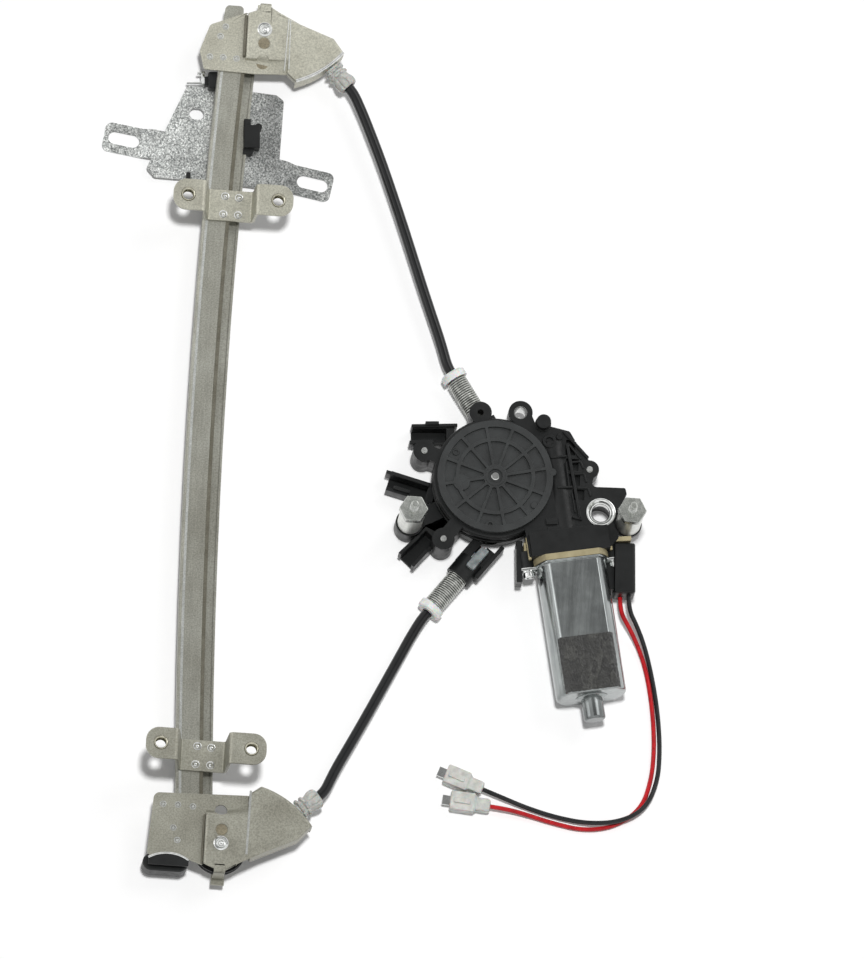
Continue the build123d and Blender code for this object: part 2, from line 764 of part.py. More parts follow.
def guide_shoe_right():
    edge, half = rail_x(right_shoe_y) + rail_width / 2, right_shoe_length / 2
    outer = edge + right_shoe_reach
    body = shoe(edge - shoe_hold, outer, right_shoe_y - half, right_shoe_y + half)
    return body - block(outer - 1.8, outer + 1, right_shoe_y - 1.0, right_shoe_y + 1.0, 0, 20)


def cable_anchor():
    """The block in the rail's channel that takes the pull of the cable."""
    y0 = 146.0
    high = rail_face_z - rail_sheet - 0.8
    x = rail_x(y0 + anchor_length / 2)
    right = rail_step - rail_sheet - 0.4
    body = block(x - anchor_width / 2, x + min(anchor_width / 2, right), y0, y0 + anchor_length,
                 carrier_top_z, high)
    left, right, low = cable_offset - cable_slot, cable_offset + cable_slot, cable_z - cable_slot
    slot = rounded_face([(left, low, 0), (left, 40, 0), (right, 40, 0), (right, low, 0)])
    return body - along_rail(Plane.XZ * slot, y0 - 2, y0 + anchor_length + 2)


# ---------------------------------------------------------------- cable, ferrules, conduits


def rail_cable():
    """Wire rope from one ferrule round both pulleys to the other, along the rail between them."""
    reach = rail_radius - cable_offset
    spin = Axis((rail_centre_x, rail_mid_y, 0), (0, 0, 1))
    section = Pos(rail_centre_x - reach, rail_mid_y, cable_z) * (Plane.XZ * Circle(cable_radius))
    rope = [revolve(section.rotate(spin, -top_tilt), axis=spin, revolution_arc=top_tilt - low_tilt)]
    for kind in (top_bracket, low_bracket):
        at, out = ferrule_line(kind)
        end = at - out * 0.5
        touch_turn = math.degrees(math.atan2(end.Y, end.X) + math.acos(kind["groove"] / end.length))
        section = Pos(-kind["groove"], 0, cable_z) * (Plane.XZ * Circle(cable_radius))
        bend = revolve(section.rotate(Axis.Z, -kind["tilt"]), axis=Axis.Z,
                       revolution_arc=touch_turn - (180 - kind["tilt"]))
        touch = Vector(kind["groove"], 0).rotate(Axis.Z, touch_turn)
        straight = rod((touch.X, touch.Y, cable_z), (end.X, end.Y, cable_z), cable_radius)
        rope += [placed_bracket(kind, bend), placed_bracket(kind, straight)]
    return rope


def ferrule(kind):
    """Ribbed nylon end piece: inner collar, neck in the wall, ribs, socket for the conduit."""
    at, out = ferrule_line(kind)
    r, bore = ferrule_radius, cable_radius + 0.15
    neck, wall, seat = r - ferrule_neck, bracket_sheet / 2 + ferrule_play, ferrule_length - ferrule_seat
    outline = [(-wall - 1.2, bore + ferrule_mouth), (-wall - 1.2, r), (-wall, r), (-wall, neck), (wall, neck)]
    for along in (wall, wall + 2.5):
        outline += [(along, r), (along + 1.3, r), (along + 1.3, r - 0.9), (along + 2.5, r - 0.9)]
    outline += [
        (wall + 5.0, r - 0.3), (ferrule_length - 0.6, r - 0.9), (ferrule_length, r - 1.4),
        (ferrule_length, conduit_radius), (seat, conduit_radius), (seat, bore), (0.5, bore),
    ]
    piece = turned(outline, (at.X, at.Y, cable_z), (out.X, out.Y, 0))
    return placed_bracket(kind, piece)


def conduit_start(kind):
    """Bottom of the ferrule's socket and a point straight out of it."""
    at, out = ferrule_line(kind)
    seat = at + out * (ferrule_length - ferrule_seat)
    ahead = at + out * (ferrule_length + conduit_exit)
    side = kind["side"]
    return [(kind["x"] + p.X, kind["y"] + side * p.Y, cable_z) for p in (seat, ahead)]


top_spring = {"cap": (41.1, 41.4), "turn": -56.0}
low_spring = {"cap": (35.6, -78.7), "turn": 53.4}


def spring_point(spring, distance, z=conduit_drum_z):
    """A point on a spring's axis, counted from the cap's outer face towards the drum."""
    turn = math.radians(spring["turn"])
    x, y = spring["cap"]
    return (x + distance * math.cos(turn), y + distance * math.sin(turn), z)


def spring_axis(spring):
    turn = math.radians(spring["turn"])
    return (math.cos(turn), math.sin(turn), 0)


top_conduit_points = [(-8.4, 166.7, 9.6), (1.6, 144.2, 8.9), (13.4, 114.0, 8.0), (25.7, 80.5, 7.1), (35.0, 56.5, 6.5)]
low_conduit_points = [(-4.6, -160.6, 9.4), (6.8, -137.4, 8.3), (18.6, -112.2, 7.3), (28.6, -90.6, 6.6)]


def conduit(kind, spring, points, name):
    route = conduit_start(kind) + points + [spring_point(spring, -4.0), spring_point(spring, cap_length - 1.0)]
    return tube(name, route, conduit_radius, ferrule_seat)


def spring_cap(spring):
    """Nylon cup on the conduit's end, which carries the spring."""
    outline = [
        (0, conduit_radius), (0, cap_radius - 1.0), (0.8, cap_radius), (cap_length, cap_radius),
        (cap_length, 0), (cap_length - 1.0, 0), (cap_length - 1.0, conduit_radius),
    ]
    return turned(outline, spring_point(spring, 0), spring_axis(spring))


def tension_spring(spring):
    """Envelope of the tension spring."""
    start, stop = spring_point(spring, cap_length), spring_point(spring, cap_length + spring_length)
    return rod(start, stop, spring_radius) - rod(start, stop, spring_radius - spring_wire)


def spigot(spring):
    """Adjuster tube inside the spring, seated in the drum housing."""
    start, stop = spring_point(spring, cap_length), spring_point(spring, cap_length + spring_length + 9.0)
    return rod(start, stop, spigot_radius) - rod(start, stop, cable_radius + 0.3)


# ---------------------------------------------------------------- drive unit

screw_bosses = [(29.2, -1.9), (40.6, -45.0), (55.2, 19.1), (109.0, -5.4)]
mount_eye = (74.4, 20.5)
mount_bush = (115.4, -26.5)
standoffs = [(24.5, -36.0), (129.3, -29.0)]
cable_channels = [((23.6, 8.2), (44.0, 9.6)), ((13.4, -15.0), (36.0, -20.6)), ((24.2, -53.6), (38.0, -38.0))]


def motor_frame():
    return Pos(motor_x, motor_y, motor_z) * Rot(0, 0, motor_turn)


def motor_point(along, across):
    """A point of the motor's own plan: along its axis from the gearbox out, and across it."""
    turn = math.radians(motor_turn)
    x = motor_x + along * math.cos(turn) - across * math.sin(turn)
    y = motor_y + along * math.sin(turn) + across * math.cos(turn)
    return x, y


def arm(a, b, width):
    """A bar-shaped face with round ends between two points."""
    length = math.hypot(b[0] - a[0], b[1] - a[1])
    turn = math.degrees(math.atan2(b[1] - a[1], b[0] - a[0]))
    return stadium((a[0] + b[0]) / 2, (a[1] + b[1]) / 2, length + width, width / 2, turn)


def spring_gate(spring):
    """Room for a spring, and the straight passage of its spigot through the tray's wall."""
    end = cap_length + spring_length
    gate = rod(spring_point(spring, 0), spring_point(spring, end), spring_radius + spring_gap)
    return gate + rod(spring_point(spring, 0), spring_point(spring, end + 30.0), spigot_radius)


def worm_tube(gap=0.0):
    """The round tube of the case in which the worm turns."""
    middle = -(worm_tube_start + worm_tube_length / 2)
    return motor_frame() * Pos(middle, 0, 0) * (
        Rot(0, 90, 0) * Cylinder(worm_tube_radius + gap, worm_tube_length + 2 * gap))


def drum_housing():
    """Lower tray: cup round the cable drum, bosses, cable channels and the foot of each standoff."""
    hub = (drum_x, drum_y)
    tray = disc(*hub, cup_radius, 0, tray_high_z)
    for x, y in screw_bosses[:2]:
        tray += disc(x, y, boss_radius, 0, tray_high_z)
        tray += prism(arm((x, y), hub, boss_radius * 1.3), 0, tray_high_z)
    tray += prism(arm(standoffs[0], hub, 9.0), 0, tray_high_z)
    tray += disc(*standoffs[0], sleeve_radius + 0.8, 0, standoff_foot_z)
    for a, b in cable_channels:
        turn = math.degrees(math.atan2(b[1] - a[1], b[0] - a[0]))
        length = math.hypot(b[0] - a[0], b[1] - a[1])
        body = Pos((a[0] + b[0]) / 2, (a[1] + b[1]) / 2, 0) * Rot(0, 0, turn)
        half, room = channel_width / 2, channel_width / 2 - channel_wall
        tray += body * block(-length / 2, length / 2, -half, half, 0, tray_high_z)
        tray -= body * block(-length / 2 - 1, length / 2 - 4, -room, room, tray_floor, 20)
    for spring in (top_spring, low_spring):
        start = spring_point(spring, cap_length + spring_length)
        seat = Pos(start[0], start[1], 0) * Rot(0, 0, spring["turn"])
        tray += seat * block(0, 15.0, -6.4, 6.4, 0, tray_high_z)
        tray -= spring_gate(spring)
    tray -= disc(*hub, cup_radius - cup_wall, tray_floor, tray_high_z + 1)
    tray -= worm_tube(0.1)
    tray += disc(*hub, axle_radius + axle_foot_margin, 0, drum_low_z - 0.1)
    tray -= disc(*hub, axle_radius, -1, 20)
    for x, y in screw_bosses[:2]:
        tray -= disc(x, y, screw_radius, tray_floor, 30)
    tray -= disc(*standoffs[0], shank_radius, standoff_foot_z - shank_depth, 30)
    return tray


def case_plan():
    """Plan of the upper case: cup, bosses, worm side, mounting eye and bush."""
    hub = (drum_x, drum_y)
    plan = Pos(*hub) * Circle(cup_radius)
    for x, y in screw_bosses[:3]:
        plan += Pos(x, y) * Circle(boss_radius)
        plan += arm((x, y), hub, boss_radius * 1.3)
    plan += rounded_face([
        (84.0, 15.6, 1), (98.5, 12.8, 2), (106.0, 1.0, 2), (112.6, -4.0, 3), (110.0, -14.0, 2),
        (126.6, -13.4, 1), (127.4, -16.4, 1), (124.0, -24.0, 3), (124.6, -38.5, 2),
        (*motor_point(-4.0, 19.0), 1), (*motor_point(-4.0, -20.0), 1), (*motor_point(-20.0, -20.0), 2), (66.0, -20.0, 2),
    ])
    plan += Pos(*mount_eye) * Circle(eye_outer_radius)
    plan += arm(mount_eye, (drum_x + 18, drum_y + 18), 9.0)
    plan += Pos(*screw_bosses[3]) * Circle(boss_radius - 0.9)
    plan += Pos(*mount_bush) * Circle(bush_outer_radius + 1.8)
    plan += Pos(*standoffs[1]) * Circle(sleeve_radius + 0.6)
    plan += arm(mount_bush, standoffs[1], 10.0)
    return plan


def gearbox_housing():
    """Upper case: worm wheel cup, worm tube, brush-gear box, ribs."""
    hub = (drum_x, drum_y)
    low = tray_high_z
    case = prism(case_plan(), low, case_high_z)
    # the right-hand side has no tray under it, so its walls run down to the floor
    skirt = rounded_face([
        (94.0, 8.0, 2), (106.0, -2.0, 2), (108.0, -14.0, 2), (122.0, -20.0, 3), (122.0, -36.0, 2),
        (*motor_point(-6.0, 17.0), 1), (*motor_point(-6.0, -8.0), 1), (96.0, -22.0, 2),
    ])
    case += prism(skirt, 0.5, low)
    frame = motor_frame()
    case += frame * Pos(-card_sheet - 6.0, 0, -0.6) * Box(12.0, 2 * brush_box_half, 23.0)
    case += worm_tube()
    # lightening pockets beside the worm tube
    for x0, x1, y0, y1 in ((97.0, 101.5, 1.0, 8.5), (97.5, 103.5, -6.5, -0.8), (99.0, 104.5, -14.0, -8.3),
                           (101.5, 107.0, -21.0, -15.8)):
        case -= block(x0, x1, y0, y1, case_high_z - 3.0, case_high_z + 1)
    # inner room for the worm wheel, the drum's hub, the worm and the brush gear
    case -= disc(*hub, cup_radius - cup_wall, wheel_low_z - 0.4, case_high_z + 1)
    case -= disc(*hub, drum_hub_radius + 0.4, 0, wheel_low_z)
    room, middle = worm_back - worm_tube_start, -(worm_back + worm_tube_start) / 2
    case -= frame * Pos(middle, 0, 0) * (Rot(0, 90, 0) * Cylinder(worm_radius + worm_room, room))
    case -= frame * Pos(-worm_tube_start, 0, 0) * (
        Rot(0, 90, 0) * Cylinder(brush_room_radius, 2 * worm_tube_start))
    case -= disc(*hub, cover_radius + 0.3, case_high_z, case_high_z + 5)
    case -= spring_gate(top_spring) + spring_gate(low_spring)
    tail = frame * Pos(-shaft_back, 0, 0) * (
        Rot(0, 90, 0) * Cylinder(shaft_radius + running_gap, 2 * (shaft_back - worm_back) + 2.0))
    case -= tail
    for x, y in screw_bosses:
        case -= disc(x, y, screw_radius, 0, 40)
    case -= disc(*mount_eye, eye_hole_radius, 0, 40)
    case -= disc(*mount_bush, bush_outer_radius, 0, 40)
    case -= disc(*mount_bush, bush_outer_radius + 1.2, case_high_z, 40)
    case -= disc(*standoffs[1], sleeve_radius + 2.0, standoff_foot_z, 40)
    case -= disc(*standoffs[1], shank_radius, standoff_foot_z - shank_depth, 40)
    for across in (-can_ear_reach, can_ear_reach):
        lug = Pos(-card_sheet - can_lug / 2, across, 0) * (Rot(0, 90, 0) * Cylinder(can_ear_radius, can_lug))
        hole = Pos(-card_sheet - can_lug / 2, across, 0) * (Rot(0, 90, 0) * Cylinder(screw_radius, can_lug))
        case += frame * lug
        case -= frame * hole
    case -= [frame * finger for finger in card_fingers(0.1)]
    case -= Pos(0, 0, -0.1) * socket_block(0)
    peg = disc(85.4, 15.4, 3.9, low, case_high_z + 1.2)
    return case + peg


def gear_cover():
    """Ribbed disc over the worm wheel: outer cells, ring, spokes and hub."""
    hub = (drum_x, drum_y)
    cover = disc(*hub, cover_radius, case_high_z, cover_high_z)
    floor = cover_high_z - cover_recess
    outer, ring = cover_radius - cover_rim, cover_ring_radius
    wells = Circle(outer) - Circle(ring) + Circle(ring - cover_ring_wall) - Circle(cover_hub_radius)
    for i in range(cover_ribs):
        turn = Rot(0, 0, 360 * i / cover_ribs + cover_rib_turn)
        wells -= turn * Pos(outer / 2 + 1, 0) * Rectangle(outer + 1, cover_rib_width)
    for well in wells.faces():
        cover -= Pos(*hub, floor) * extrude(well, cover_recess + 1, dir=(0, 0, 1))
    cover -= disc(*hub, cover_hub_radius - 2.0, cover_high_z - cover_hub_recess, 40)
    cover -= disc(*hub, axle_tip_radius + 0.1, 0, 40)
    cover -= disc(*hub, axle_radius + 0.05, 0, case_high_z + 1.0)
    return cover


def cable_drum():
    """Grooved drum with the hub that drives it."""
    root = drum_groove_radius - cable_radius
    low, high = drum_low_z, drum_high_z
    profile = [(axle_radius + running_gap, low, 0), (drum_radius, low, 0), (drum_radius, low + 1.0, 0)]
    turns = 3
    pitch = (high - low - 2.0) / turns
    for i in range(turns):
        z = low + 1.0 + pitch * i
        profile += [(root, z + 0.25, 0), (root, z + pitch - 0.25, 0), (drum_radius - 0.6, z + pitch, 0)]
    profile = profile[:-1] + [
        (drum_radius, high - 1.0, 0), (drum_radius, high, 0), (drum_hub_radius, high, 0),
        (drum_hub_radius, wheel_low_z, 0), (axle_radius + running_gap, wheel_low_z, 0),
    ]
    drum = revolve(Plane.XZ * rounded_face(profile), axis=Axis.Z)
    return Pos(drum_x, drum_y, 0) * drum


def worm_wheel():
    """Toothed wheel with a round window for the damper."""
    hub = (drum_x, drum_y)
    wheel = disc(0, 0, wheel_radius, wheel_low_z, wheel_high_z)
    depth, pitch = 1.5, 2 * math.pi * wheel_radius / wheel_teeth
    gap = rounded_face([
        (wheel_radius - depth, -pitch * 0.16, 0), (wheel_radius + 1, -pitch * 0.42, 0),
        (wheel_radius + 1, pitch * 0.42, 0), (wheel_radius - depth, pitch * 0.16, 0),
    ])
    notch = prism(gap, wheel_low_z - 1, wheel_high_z + 1)
    wheel -= [Rot(0, 0, 360 * i / wheel_teeth) * notch for i in range(wheel_teeth)]
    wheel -= disc(0, 0, damper_radius, wheel_low_z + damper_floor, wheel_high_z + 1) - disc(0, 0, damper_bore, 0, 40)
    wheel -= disc(0, 0, axle_radius + running_gap, 0, 40)
    return Pos(*hub, 0) * wheel


def damper():
    """Rubber ring in the worm wheel."""
    ring = disc(0, 0, damper_radius, wheel_low_z + damper_floor, wheel_high_z - 0.4)
    ring -= disc(0, 0, damper_bore, 0, 40)
    for i in range(6):
        knob = disc((damper_radius + damper_bore) / 2, 0, damper_knob, wheel_high_z - wheel_height / 2, 40)
        ring -= Rot(0, 0, 60 * i) * knob
    return Pos(drum_x, drum_y, 0) * ring


def drum_axle():
    pin = disc(drum_x, drum_y, axle_radius, 0, case_high_z + 0.6)
    return pin + disc(drum_x, drum_y, axle_tip_radius, 0, cover_high_z + 0.3)


def housing_screws():
    """Self-tapping screws, whose tips stand out of the bosses."""
    screws = []
    for x, y in (screw_bosses[0], screw_bosses[1], screw_bosses[3]):
        screw = disc(x, y, screw_radius, case_high_z - screw_length, case_high_z)
        screws.append(screw + disc(x, y, screw_tip_radius, case_high_z, case_high_z + screw_tip))
    return screws


def mounting_bush():
    """Flanged steel bush pressed into the case."""
    low, high = tray_high_z, case_high_z
    bush = disc(*mount_bush, bush_outer_radius, low, high)
    bush += disc(*mount_bush, bush_outer_radius + 0.9, high, high + 0.8)
    return bush - disc(*mount_bush, bush_inner_radius, 0, 40)


def standoff_sleeves():
    sleeves = []
    for x, y in standoffs:
        sleeve = disc(x, y, sleeve_radius, standoff_foot_z, standoff_foot_z + sleeve_height)
        sleeves.append(sleeve - disc(x, y, shank_radius, 0, 60))
    return sleeves


def standoff_studs():
    """Collar studs: hexagon on the sleeve, threaded tip above, shank down into the case."""
    studs = []
    for x, y in standoffs:
        seat = standoff_foot_z + sleeve_height
        hexagon = Pos(x, y, seat) * extrude(RegularPolygon(hex_flats / 2, 6, major_radius=False), hex_height)
        shank = disc(x, y, shank_radius, standoff_foot_z - shank_depth, seat)
        tip = disc(x, y, stud_radius, seat, seat + hex_height + stud_length)
        tip = chamfer(tip.edges().sort_by(Axis.Z)[-1], stud_chamfer)
        studs.append(hexagon + shank + tip)
    return studs


# ---------------------------------------------------------------- motor


def can_section(radius, half):
    return Circle(radius) & Rectangle(2 * half, 3 * radius)


def motor_can():
    """Drawn steel can with two flats, a bearing boss and a flange with two ears."""
    outer = extrude(can_section(can_radius, can_half), can_length)
    outer = fillet(outer.faces().sort_by(Axis.Z)[-1].edges(), 1.8)
    inner = extrude(can_section(can_radius - can_wall, can_half - can_wall), can_length - can_wall)
    boss = Pos(0, 0, can_length - 0.5) * Cylinder(
        boss_end_radius, boss_end_length + 0.5, align=(Align.CENTER, Align.CENTER, Align.MIN))
    boss = fillet(boss.edges().sort_by(Axis.Z)[-1], 1.2)
    flange = extrude(can_section(can_radius + 1.2, can_half + 0.4), can_flange)
    ears = extrude(Rot(0, 0, 90) * SlotOverall(2 * (can_ear_reach + can_ear_radius), 2 * can_ear_radius), can_flange)
    can = outer + boss + flange + ears - inner
    can -= Pos(0, 0, can_length - 2) * Cylinder(bearing_radius, 2 * boss_end_length, align=(
        Align.CENTER, Align.CENTER, Align.CENTER)) & Pos(0, 0, can_length - 4) * Box(20, 20, 2 * (boss_end_length - 1.0) + 8)
    for across in (-can_ear_reach, can_ear_reach):
        can -= Pos(0, across, 0) * Cylinder(screw_radius, 10)
    return motor_frame() * Rot(0, 90, 0) * can


def motor_magnets():
    """Two curved ferrite magnets inside the can's round sides."""
    ring = Circle(can_radius - can_wall) - Circle(can_radius - can_wall - magnet_wall)
    half = can_half - can_wall
    pair = []
    for side in (-1, 1):
        face = ring & (Pos(0, side * can_radius / 2) * Rectangle(2 * half, can_radius - 6.0))
        pair.append(motor_frame() * Rot(0, 90, 0) * Pos(0, 0, core_start - 2.0) * extrude(face, core_length + 4))
    return pair


def armature():
    """Shaft with the worm, the wound core and the commutator."""
    start = (Align.CENTER, Align.CENTER, Align.MIN)
    length = shaft_back + can_length + shaft_front
    shaft = Pos(-shaft_back, 0, 0) * Rot(0, 90, 0) * Cylinder(shaft_radius, length, align=start)
    worm = Pos(-worm_back, 0, 0) * Rot(0, 90, 0) * Cylinder(worm_radius, worm_length, align=start)
    return motor_frame() * (shaft + worm)


def armature_core():
    """Laminated, slotted core on the shaft."""
    core = Circle(core_radius) - Circle(shaft_radius)
    for i in range(8):
        core -= Rot(0, 0, 45 * i) * Pos(core_radius - 2.0, 0) * Rectangle(5.0, 1.8)
    return motor_frame() * Rot(0, 90, 0) * Pos(0, 0, core_start) * extrude(core, core_length)


def commutator():
    ring = Circle(5.6) - Circle(shaft_radius)
    for i in range(8):
        ring -= Rot(0, 0, 45 * i + 22.5) * Pos(5.4, 0) * Rectangle(1.6, 0.7)
    return motor_frame() * Rot(0, 90, 0) * Pos(0, 0, 2.0) * extrude(ring, 11.0)


def shaft_bearings():
    """Plain bearings at the can's boss and behind the worm."""
    rings = []
    for along, length, radius in ((can_length + 0.5, 6.0, bearing_radius),):
        ring = Circle(radius) - Circle(shaft_radius + running_gap)
        rings.append(motor_frame() * Rot(0, 90, 0) * Pos(0, 0, along) * extrude(ring, length))
    return rings


def card_fingers(gap=0.0):
    """The brush card's two side strips, which lie along the gearbox's end."""
    fingers = []
    for side in (-1, 1):
        near = side * (brush_box_half - gap)
        far = side * (brush_box_half + card_finger_sheet + gap)
        low, high = min(near, far), max(near, far)
        fingers.append(block(-card_sheet - card_finger - gap, -card_sheet, low, high, -6.0 - gap, 6.0 + gap))
    return fingers


def brush_card():
    """Brush carrier clamped between the gearbox and the can, with two side strips."""
    reach = 2 * (can_ear_reach + can_ear_radius)
    card = extrude(can_section(can_radius + 1.4, can_half + 0.4), -card_sheet)
    card += extrude(Rot(0, 0, 90) * SlotOverall(reach, 2 * can_ear_radius), -card_sheet)
    card -= Cylinder(8.0, 20)
    strips = card_fingers()
    card = Rot(0, 90, 0) * card + strips[0] + strips[1]
    for across in (-can_ear_reach, can_ear_reach):
        card -= Pos(0, across, 0) * Rot(0, 90, 0) * Cylinder(screw_radius, 2 * (card_sheet + can_lug))
    return motor_frame() * card


def can_screws():
    screws = []
    for across in (-can_ear_reach, can_ear_reach):
        shank = Pos(0, across, -card_sheet - can_lug) * Cylinder(
            screw_radius, card_sheet + can_lug + can_flange, align=(Align.CENTER, Align.CENTER, Align.MIN))
        head = Pos(0, across, can_flange) * Cylinder(
            can_screw_head_radius, can_screw_head, align=(Align.CENTER, Align.CENTER, Align.MIN))
        screws.append(motor_frame() * Rot(0, 90, 0) * (shank + head))
    return screws


def socket_frame():
    """The socket's own frame: origin in its lower face, +X to the right, +Y towards the gearbox."""
    return Pos(socket_x, socket_y, 0) * Rot(0, 0, socket_turn)


def socket_block(nest):
    """The socket's body; nest is the room left round the can's screw."""
    half = socket_width / 2
    body = block(-half, half, 0, socket_length, socket_low_z, socket_high_z)
    body = socket_frame() * fillet(body.edges().filter_by(Axis.Z), 1.2)
    if nest > 0:
        room = Pos(-2.0, can_ear_reach, 0) * (Rot(0, 90, 0) * Cylinder(can_ear_radius + nest, 24.0))
        body -= motor_frame() * room
    return body


def connector_block():
    """Supply socket beside the can, from which the leads leave."""
    return socket_block(0.4)


# ---------------------------------------------------------------- supply leads

plug_z = 3.5


def lead_start(across, z):
    """A lead's first two points: square out of the socket's lower face."""
    place = socket_frame().position
    turn = math.radians(socket_turn)
    points = []
    for out in (0.0, 7.0):
        x = place.X + across * math.cos(turn) + out * math.sin(turn)
        y = place.Y + across * math.sin(turn) - out * math.cos(turn)
        points.append((x, y, z))
    return points


def lead_end(plug):
    """A lead's last two points: straight into the plug's barrel."""
    turn = math.radians(plug["turn"])
    x, y = plug["mouth"]
    return [(x - 8.0 * math.cos(turn), y - 8.0 * math.sin(turn), plug_z), (x, y, plug_z)]


red_plug = {"mouth": (70.8, -171.8), "turn": 175.5}
black_plug = {"mouth": (66.9, -163.6), "turn": 160.7}
red_points = lead_start(-1.6, 9.0) + [
    (132.6, -78.6, 6.4), (137.6, -86.6, 2.8), (141.8, -96.6, lead_z), (144.8, -109.0, lead_z),
    (147.0, -122.5, lead_z), (148.2, -137.5, lead_z), (147.6, -152.0, lead_z), (143.6, -167.0, lead_z),
    (131.6, -176.6, lead_z), (117.0, -179.8, lead_z), (102.0, -177.4, lead_z), (89.0, -174.2, 1.8),
] + lead_end(red_plug)
black_points = lead_start(2.2, 13.0) + [
    (136.2, -78.8, 9.8), (140.6, -87.0, 5.0), (144.2, -97.4, 1.8), (147.2, -109.6, lead_z),
    (149.6, -123.4, lead_z), (151.0, -138.2, lead_z), (150.6, -153.0, 1.6), (145.4, -167.4, 3.6),
    (133.4, -175.2, 4.8), (118.0, -176.6, 2.8), (103.0, -174.4, 1.6), (88.4, -170.8, 2.0),
] + lead_end(black_plug)

housing_length = 12.4
housing_width = 8.8
housing_height = 6.6
barrel_length = 7.4
barrel_radius = 2.7


def plug_frame(plug):
    return Pos(*plug["mouth"], plug_z) * Rot(0, 0, plug["turn"])


def plug_housing(plug):
    """Single-way nylon housing: round barrel for the lead, square body with a latch rib."""
    barrel = Rot(0, 90, 0) * Cylinder(barrel_radius, barrel_length, align=(Align.CENTER, Align.CENTER, Align.MIN))
    x0, x1 = barrel_length, barrel_length + housing_length
    body = block(x0, x1, -housing_width / 2, housing_width / 2, -housing_height / 2, housing_height / 2)
    body = fillet(body.edges().filter_by(Axis.X), 0.8)
    rib = block(x0 + 2, x1 - 2, -1.2, 1.2, housing_height / 2, housing_height / 2 + 0.8)
    cavity = block(x1 - 7.0, x1 + 1, -housing_width / 2 + 1.2, housing_width / 2 - 1.2, -1.7, 1.7)
    return plug_frame(plug) * (barrel + body + rib - cavity)


def plug_terminal(plug):
    """Flat blade that stands in the housing's cavity and out of it."""
    x1 = barrel_length + housing_length
    return plug_frame(plug) * block(x1 - 7.0, x1 + 3.6, -2.4, 2.4, -0.5, 0.5)


# ---------------------------------------------------------------- build


def joint_values():
    """Pivots, ranges and ratios of the moving pieces, in millimetres and degrees."""
    cable_arc = rail_radius - cable_offset
    turns = {
        "pivot": (rail_centre_x, rail_mid_y, carrier_z),
        "carrier_low": -math.degrees(carrier_travel_up / rail_radius),
        "carrier_high": math.degrees(carrier_travel_down / rail_radius),
        "drum_per_carrier": cable_arc / drum_groove_radius,
        "top_per_carrier": cable_arc / top_groove_radius,
        "low_per_carrier": cable_arc / low_groove_radius,
        "worm_ratio": wheel_teeth,
    }
    return turns


def main():
    os.makedirs("parts", exist_ok=True)
    save("guide_rail", guide_rail())
    save("upper_pulley_bracket", pulley_bracket(top_bracket))
    lower, seat = bumper_lip(pulley_bracket(low_bracket))
    save("lower_pulley_bracket", lower)
    x, y, length = seat
    stop = prism(stadium(x, y, stop_length, stop_width / 2), stop_low_z, stop_low_z + stop_height)
    slot = block(x - length / 2, x + length / 2, y - bracket_sheet / 2, y + bracket_sheet / 2,
                 plate_z - lip_depth, plate_z)
    save("stop_bumper", fillet(stop.edges().filter_by(GeomType.LINE, reverse=True), 0.8) - slot)
    for name, kind in (("upper", top_bracket), ("lower", low_bracket)):
        save(f"{name}_back_plate", back_plate(kind))
        save(f"{name}_pulley", pulley(kind))
        save(f"{name}_pulley_rivet", pulley_rivet(kind))
        save(f"{name}_ferrule", ferrule(kind))
    save("upper_mounting_strap", mounting_strap(strap_top_y, strap_top_rise))
    save("lower_mounting_strap", mounting_strap(strap_low_y, strap_low_rise))
    save("weld_nuts", *weld_nuts())
    save("carrier_plate", carrier_plate())
    save("guide_shoes_left", *guide_shoes_left())
    save("guide_shoe_right", guide_shoe_right())
    save("cable_anchor", cable_anchor())
    save("rail_cable", *rail_cable())
    save("upper_conduit", conduit(top_bracket, top_spring, top_conduit_points, "upper conduit"))
    save("lower_conduit", conduit(low_bracket, low_spring, low_conduit_points, "lower conduit"))
    for name, spring in (("upper", top_spring), ("lower", low_spring)):
        save(f"{name}_spring_cap", spring_cap(spring))
        save(f"{name}_tension_spring", tension_spring(spring))
        save(f"{name}_spigot", spigot(spring))
    save("drum_housing", drum_housing())
    save("gearbox_housing", gearbox_housing())
    save("gear_cover", gear_cover())
    save("cable_drum", cable_drum())
    save("worm_wheel", worm_wheel())
    save("wheel_damper", damper())
    save("drum_axle", drum_axle())
    save("housing_screws", *housing_screws())
    save("mounting_bush", mounting_bush())
    save("standoff_sleeves", *standoff_sleeves())
    save("standoff_studs", *standoff_studs())
    save("motor_can", motor_can())
    save("motor_magnets", *motor_magnets())
    save("armature_shaft", armature())
    save("armature_core", armature_core())
    save("commutator", commutator())
    save("shaft_bearing", *shaft_bearings())
    save("brush_card", brush_card())
    save("can_screws", *can_screws())
    save("connector_block", connector_block())
    save("lead_red", tube("red lead", red_points, lead_radius))
    save("lead_black", tube("black lead", black_points, lead_radius))
    for name, plug in (("red", red_plug), ("black", black_plug)):
        save(f"{name}_lead_housing", plug_housing(plug))
        save(f"{name}_lead_terminal", plug_terminal(plug))
    shown = [s.bounding_box() for n, s in made.items() if "lead" not in n]
    low = [min(getattr(b.min, k) for b in shown) for k in "XYZ"]
    high = [max(getattr(b.max, k) for b in shown) for k in "XYZ"]
    print("box", [round(v, 1) for v in low], [round(v, 1) for v in high])


if __name__ == "__main__":
    main()
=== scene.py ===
import json
import math

import bmesh
import bpy
from mathutils import Matrix, Vector, noise
from mathutils.bvhtree import BVHTree


